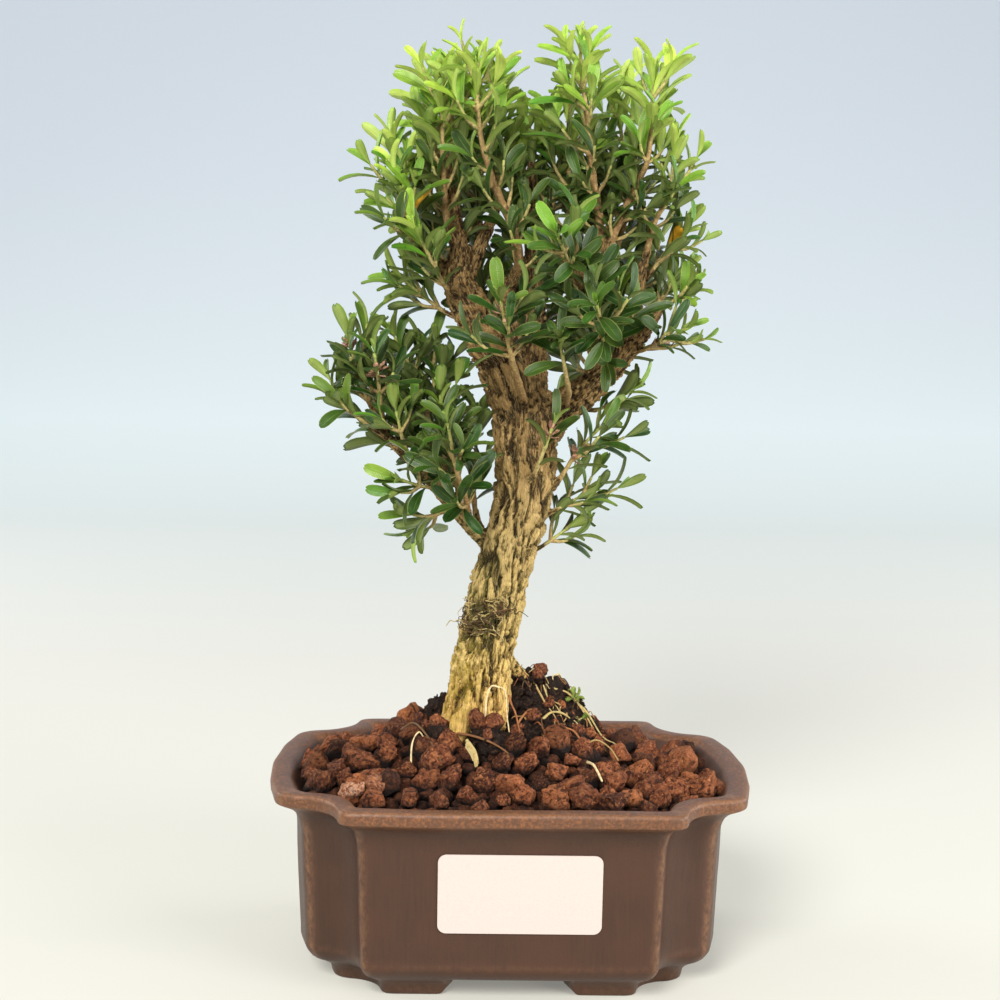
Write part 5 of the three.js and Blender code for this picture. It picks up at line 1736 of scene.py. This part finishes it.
# Large grains with a pale crust at the left front corner: x, y, radius and share of crust
CRUSTED_GRAINS = ((-57, -42, 6, 1), (-49, -39, 5.5, 0.5))


def inside_cavity(x, y, margin):
    """True where a place is inside the pot's opening by a margin."""
    rim = inset_outline(OUTLINE, LIP_INSET + margin)
    angle = np.arctan2(rim[:, 1], rim[:, 0])
    order = np.argsort(angle)
    away = np.hypot(rim[:, 0], rim[:, 1])
    reach = np.interp(math.atan2(y, x), angle[order], away[order], period=2 * math.pi)
    return math.hypot(x, y) < reach


def hex_places(pitch, reach, jitter, seed):
    """Key, x and y of the places of a jittered honeycomb."""
    for q in range(-reach, reach + 1):
        for r in range(-reach, reach + 1):
            key = (q + 40) * 100 + r + 40
            x = pitch * (q + r / 2) + spread(-jitter, jitter, key, seed)
            y = pitch * r * math.sqrt(0.75) + spread(-jitter, jitter, key, seed + 1)
            yield key, x, y


def add_under_grains(shape):
    """Small grains that fill the bed."""
    for key, x, y in hex_places(UNDER_PITCH, UNDER_RANGE, 1.6, 90):
        if not inside_cavity(x, y, 4) or peat_share(x, y)[0] > 0.5:
            continue
        z = float(soil_height(x, y))
        radius = spread(2.6, 4.2, key, 92)
        if trunk_gap(x, y, z + 3) < radius * 0.7:
            continue
        # The under grains take a high damp tone: painted shade between the grains on top
        tone = (spread(0, 0.8, key, 93), spread(0.6, 1.1, key, 94))
        add_lump(shape, (x, y, z + 1.6), radius, 1, (key, 95), 0.4, tone=tone)


def add_top_grains(shape):
    """Large grains on top, the nearest ones in the finest meshes."""
    for key, x, y in hex_places(GRAIN_PITCH, GRAIN_RANGE, 2.1, 100):
        radius = 3.6 + 3.2 * draw(key, 102) ** 1.4
        if not inside_cavity(x, y, radius * 0.85) or peat_share(x, y)[0] > 0.5:
            continue
        z = float(soil_height(x, y))
        if trunk_gap(x, y, z + 6) < radius * 0.8:
            continue
        level = 3 if y < -4 else 2
        tone = (draw(key, 104), draw(key, 105) ** 3)
        top = z + 4.2 + radius * 0.35 + spread(-0.8, 1.2, key, 106)
        add_lump(shape, (x, y, top), radius, level, (key, 107), 0.46, (0.76, 1.24), cuts=9, tone=tone)


def add_placed_grains(shape):
    """Grains on the peat and by the trunk, and the crusted ones."""
    for number, (x, y, radius) in enumerate(PEAT_GRAINS):
        on_peat = peat_share(x, y)[0] > 0.5 or bed_top(x, y) > soil_height(x, y) + 1
        z = bed_top(x, y) + (0.6 if on_peat else 1.5) * radius
        tone = (draw(number, 108), 0.15 * draw(number, 109))
        add_lump(shape, (x, y, z), radius, 3, (number, 110), 0.42, (0.75, 1.2), cuts=7, tone=tone)
    for number, (x, y, radius, crust) in enumerate(CRUSTED_GRAINS):
        place = (x, y, float(soil_height(x, y)) + 5.4 + radius * 0.35)
        add_lump(shape, place, radius, 3, (number, 111), 0.46, (0.8, 1.2), cuts=9, tone=(0.6, -crust))


def grit_piece():
    shape = Shape()
    add_under_grains(shape)
    add_top_grains(shape)
    add_placed_grains(shape)
    return shape.build("lava_grains", [LAVA], ["grit"])


# Litter

# Roots and sticks on the bed: tint from pale to dark, radius, and places as x, y and height over the soil
ROOTS = (
    (0.04, 0.42, (
        (-9.6, -16.5, 4), (-9.4, -16.3, 11), (-7.8, -16, 16), (-4.9, -15.8, 17.5), (-2.4, -15.6, 16.5),
        (-1.7, -15.8, 8), (-0.6, -16.5, 1),
    )),
    (0.68, 0.45, ((-1, -13, 17), (0, -14.5, 13), (1.5, -16, 11), (3.5, -17, 8))),
    (0.6, 0.5, ((2, -9, 4), (4.5, -4, 4), (8, 0, 3.5), (12, 1.5, 1))),
    (0.45, 0.4, ((9.5, 4.6, 1.5), (13.8, 4.5, 2.4), (16.4, 2.6, 2.4), (19.1, 1.5, 0.5))),
    (0.36, 0.55, ((11.7, -0.3, 0.5), (16, 2.3, 3), (21.5, 4.9, 3), (26, 6, 0.5))),
    (0.4, 0.45, ((17, 12, 0.5), (23, 13, 3), (29, 12, 4), (34, 9, 4), (37, 5, 3))),
    (0.34, 0.42, ((24, 14, 0.5), (30, 12, 4), (36, 9, 6), (41, 6, 8), (43, 2, 7))),
    (0.42, 0.42, ((28, -2, 3), (33, -1, 8), (38, -3, 9), (41, -6, 7))),
    (0.02, 0.4, ((-36.7, -27.5, 6), (-36.4, -22.5, 11), (-34, -19, 12), (-31.5, -20.7, 9))),
    (0.85, 0.5, ((-41, -9, 9), (-36.1, -12.4, 11.5), (-30.6, -22.7, 12), (-25.7, -32.1, 10))),
    (0.74, 0.6, ((-20, -18.5, 8), (-16, -21, 9.5), (-10, -25.6, 12), (-4.2, -26, 10), (0, -28, 9))),
    (0.64, 0.55, ((13, -4.5, 2), (19, -1.8, 3.5), (23.7, 0, 4), (26, -2, 5), (27.5, -4, 5))),
    (0.05, 0.65, ((28.2, -21, 9.5), (30.3, -26.5, 11.5), (32.8, -33.5, 9.5))),
)
FINE_ROOTS = 90
FINE_ROOT_STEP = 2.1
# Green scraps on the bed: x, y, height over the soil and number of lobes
MOSS_PATCHES = ((25, 13, 1.6, 14), (27.5, 12, 1.8, 9), (72, 16, 7, 9))
# Shred of old bark on the bed: places down its middle, and how far its fibres spread
SCRAP = ((-18, -24, 11), (-15.5, -27, 10.5), (-13.5, -30.5, 10), (-12.6, -34, 8.5))
SCRAP_SPREAD = 0.9
SCRAP_FIBRES = 9
TUFT_FIBRES = 110


def add_fine_roots(shape):
    """Hair roots that wander over the bare peat."""
    for i in range(FINE_ROOTS):
        x = PEAT_PATCH[0] + PEAT_PATCH[2] * spread(-0.6, 0.95, i, 120)
        y = PEAT_PATCH[1] + PEAT_PATCH[3] * spread(-0.95, 0.95, i, 121)
        heading = spread(0, 2 * math.pi, i, 122)
        points = []
        for step in range(5):
            lift = 0 if step in (0, 4) else spread(0.8, 3, i, step, 123)
            points.append((x, y, bed_top(x, y) + lift))
            heading += spread(-1, 1, i, step, 124)
            x += FINE_ROOT_STEP * math.cos(heading)
            y += FINE_ROOT_STEP * math.sin(heading)
        if min(trunk_gap(*point) for point in points) > 0.5:
            add_root(shape, points, spread(0.16, 0.34, i, 125), spread(0.1, 1, i, 126), i + 50)


def add_moss(shape):
    """Tufts of small round lobes."""
    for number, (x, y, lift, lobes) in enumerate(MOSS_PATCHES):
        place = np.array([x, y, bed_top(x, y) + lift])
        for lobe in range(lobes):
            out = turning(number, lobe, 127)[0] * np.array([1, 1, 0.8]) + np.array([0, 0, 0.3])
            out, up = unit(out), unit(np.cross(out, turning(number, lobe, 128)[0]))
            root = place + out * 0.6
            size = spread(0.14, 0.27, number, lobe, 129)
            add_leaf(shape, root, out, up, size, 0, 0, slim=1.8, curl=0.5, slot=1)


def add_scrap(shape):
    """Shred of bark made of fibres side by side."""
    for fibre in range(SCRAP_FIBRES):
        aside, raised = (SCRAP_SPREAD * spread(-1, 1, fibre, axis, 140) for axis in range(2))
        start, end = draw(fibre, 141) * 0.4, 1 - draw(fibre, 142) * 0.3
        line = smooth_line([(x + aside, y, bed_top(x, y) + lift + 0.5 * raised) for x, y, lift in SCRAP], 4)
        shares = [start + (end - start) * share for share in (0, 0.35, 0.7, 1)]
        part = [walk(line, line["length"][-1] * share)[0] for share in shares]
        add_root(shape, part, spread(0.5, 0.9, fibre, 143), spread(0.26, 0.4, fibre, 144), fibre + 20)


def bed_litter_piece():
    shape = Shape()
    for number, (tint, radius, points) in enumerate(ROOTS):
        add_root(shape, [(x, y, bed_top(x, y) + lift) for x, y, lift in points], radius, tint, number)
    add_fine_roots(shape)
    add_moss(shape)
    add_scrap(shape)
    return shape.build("bed_litter", [ROOT_SKIN, MOSS])


def add_root(shape, points, radius, tint, number, sides=7):
    """Wavering tapered root through its points."""
    line = smooth_line(points, 6)
    share = line["length"] / line["length"][-1]
    radii = radius * (1 - 0.45 * share) * (1 + 0.18 * noise(line["place"] / 2.2, 9))
    shape.add(*tube(line, radii, sides), tone=(tint + spread(-0.04, 0.04, number, 130), 0, 0))


def trunk_tuft_piece():
    """Tangle of dead fibres that clings to the trunk."""
    shape = Shape()
    for i in range(TUFT_FIBRES):
        angle = math.radians(spread(-185, -60, i, 131))
        z = TUFT_PLACE[2] + spread(-7, 6, i, 132)
        points = []
        for step in range(5):
            stand = -0.6 if step == 0 else spread(0.2, 1.4, i, step, 133) + (1.6 * draw(i, 134) ** 4) * step
            x, y, half_x, half_y = trunk_section(z)
            across, back = (half_x + stand) * math.cos(angle), (half_y + stand) * math.sin(angle)
            points.append((x + across, y + back, z))
            angle += spread(-0.24, 0.24, i, step, 135)
            z += spread(-1.9, 1.7, i, step, 136)
        radius = spread(0.14, 0.3, i, 137)
        tint = spread(0.3, 0.42, i, 138) if i % 3 == 0 else spread(0.84, 1, i, 138)
        add_root(shape, points, radius, tint, i + 200, 5)
    return shape.build("trunk_tuft", [ROOT_SKIN])


# Stage

# Sweep behind the tree, in metres: how far it goes, where it starts to rise, and its radius
STAGE_REACH = 5.0
SWEEP_START = 1.2
SWEEP_RADIUS = 1.6
SWEEP_STEPS = 24
# Lamps, in metres and watts: name, place, place they face, width, power and tint
LAMPS = (
    ("key", (-0.45, -1.3, 1.05), (0, 0, 0.18), 0.7, 33, (1, 0.985, 0.95)),
    ("fill", (1.15, -0.95, 0.45), (0, 0, 0.15), 0.8, 18, (1, 0.985, 0.95)),
    ("left", (-1.3, 0.5, 0.7), (-0.06, 0, 0.1), 0.8, 9, (1, 0.98, 0.94)),
    ("right", (1.5, 0.3, 0.5), (0.06, 0, 0.06), 0.8, 12, (1, 0.98, 0.94)),
)
SKY_STRENGTH = 0.55


def add_turned(name, data, right, up, back, place):
    """Puts a camera or lamp at a place in metres, turned to three directions."""
    turned = bpy.data.objects.new(name, data)
    matrix = np.eye(4)
    for column, vector in enumerate((right, up, back, place)):
        matrix[:3, column] = vector
    turned.matrix_world = Matrix(matrix.tolist())
    bpy.context.scene.collection.objects.link(turned)
    return turned


def set_camera():
    turn, pitch, roll = (math.radians(a) for a in (CAMERA_TURN, CAMERA_PITCH, CAMERA_ROLL))
    level = math.cos(pitch)
    forward = np.array([-math.sin(turn) * level, math.cos(turn) * level, -math.sin(pitch)])
    right = np.array([math.cos(turn), math.sin(turn), 0])
    up = np.cross(right, forward)
    tilted_right = right * math.cos(roll) + up * math.sin(roll)
    tilted_up = up * math.cos(roll) - right * math.sin(roll)
    data = bpy.data.cameras.new("camera")
    data.sensor_fit = "HORIZONTAL"
    data.sensor_width = SENSOR_WIDTH
    data.lens = SENSOR_WIDTH * FOCAL_PIXELS / FRAME_PIXELS
    data.clip_start, data.clip_end = CAMERA_CLIP
    place = np.array(CAMERA_PLACE) * MM
    bpy.context.scene.camera = add_turned("camera", data, tilted_right, tilted_up, -forward, place)


def add_area_light(name, place, target, size, power, tint):
    data = bpy.data.lights.new(name, "AREA")
    data.shape = "DISK"
    data.size = size
    data.energy = power
    data.color = tint
    back = unit(np.array(place, float) - np.array(target, float))
    right = unit(np.cross([0, 0, 1.0], back))
    add_turned(name, data, right, np.cross(back, right), back, place)


def add_sweep():
    """Pale floor that sweeps up into a backdrop."""
    profile = [(-STAGE_REACH, 0.0), (SWEEP_START, 0.0)]
    for angle in np.linspace(0.05, 1.5, SWEEP_STEPS):
        y, z = SWEEP_RADIUS * math.sin(angle), SWEEP_RADIUS * (1 - math.cos(angle))
        profile.append((SWEEP_START + y, z))
    profile.append((SWEEP_START + SWEEP_RADIUS, STAGE_REACH))
    points = [(x, y, z) for y, z in profile for x in (-STAGE_REACH, STAGE_REACH)]
    mesh = bpy.data.meshes.new("studio_floor")
    mesh.from_pydata(points, [], [tuple(face) for face in grid_faces(len(profile), 2).tolist()])
    mesh.polygons.foreach_set("use_smooth", np.ones(len(mesh.polygons), bool))
    mesh.materials.append(studio_floor())
    floor = bpy.data.objects.new("studio_floor", mesh)
    bpy.context.scene.collection.objects.link(floor)


def set_stage():
    """The sweep, soft sky light and four soft lamps."""
    add_sweep()
    world = bpy.data.worlds.new("sky")
    world.use_nodes = True
    background = world.node_tree.nodes["Background"]
    background.inputs[0].default_value = colour(228, 229, 228)
    background.inputs[1].default_value = SKY_STRENGTH
    bpy.context.scene.world = world
    for lamp in LAMPS:
        add_area_light(*lamp)
    bpy.context.scene.view_settings.view_transform = "Standard"


set_camera()
set_stage()
pot_piece()
label_piece()
drain_mesh_piece("left", -DRAIN_HOLE_X)
drain_mesh_piece("right", DRAIN_HOLE_X)
root_ball_piece()
grit_piece()
bed_litter_piece()
trunk_piece()
trunk_tuft_piece()
for number, shoot in enumerate(SHOOT_LINES):
    shoot_piece(number, shoot)
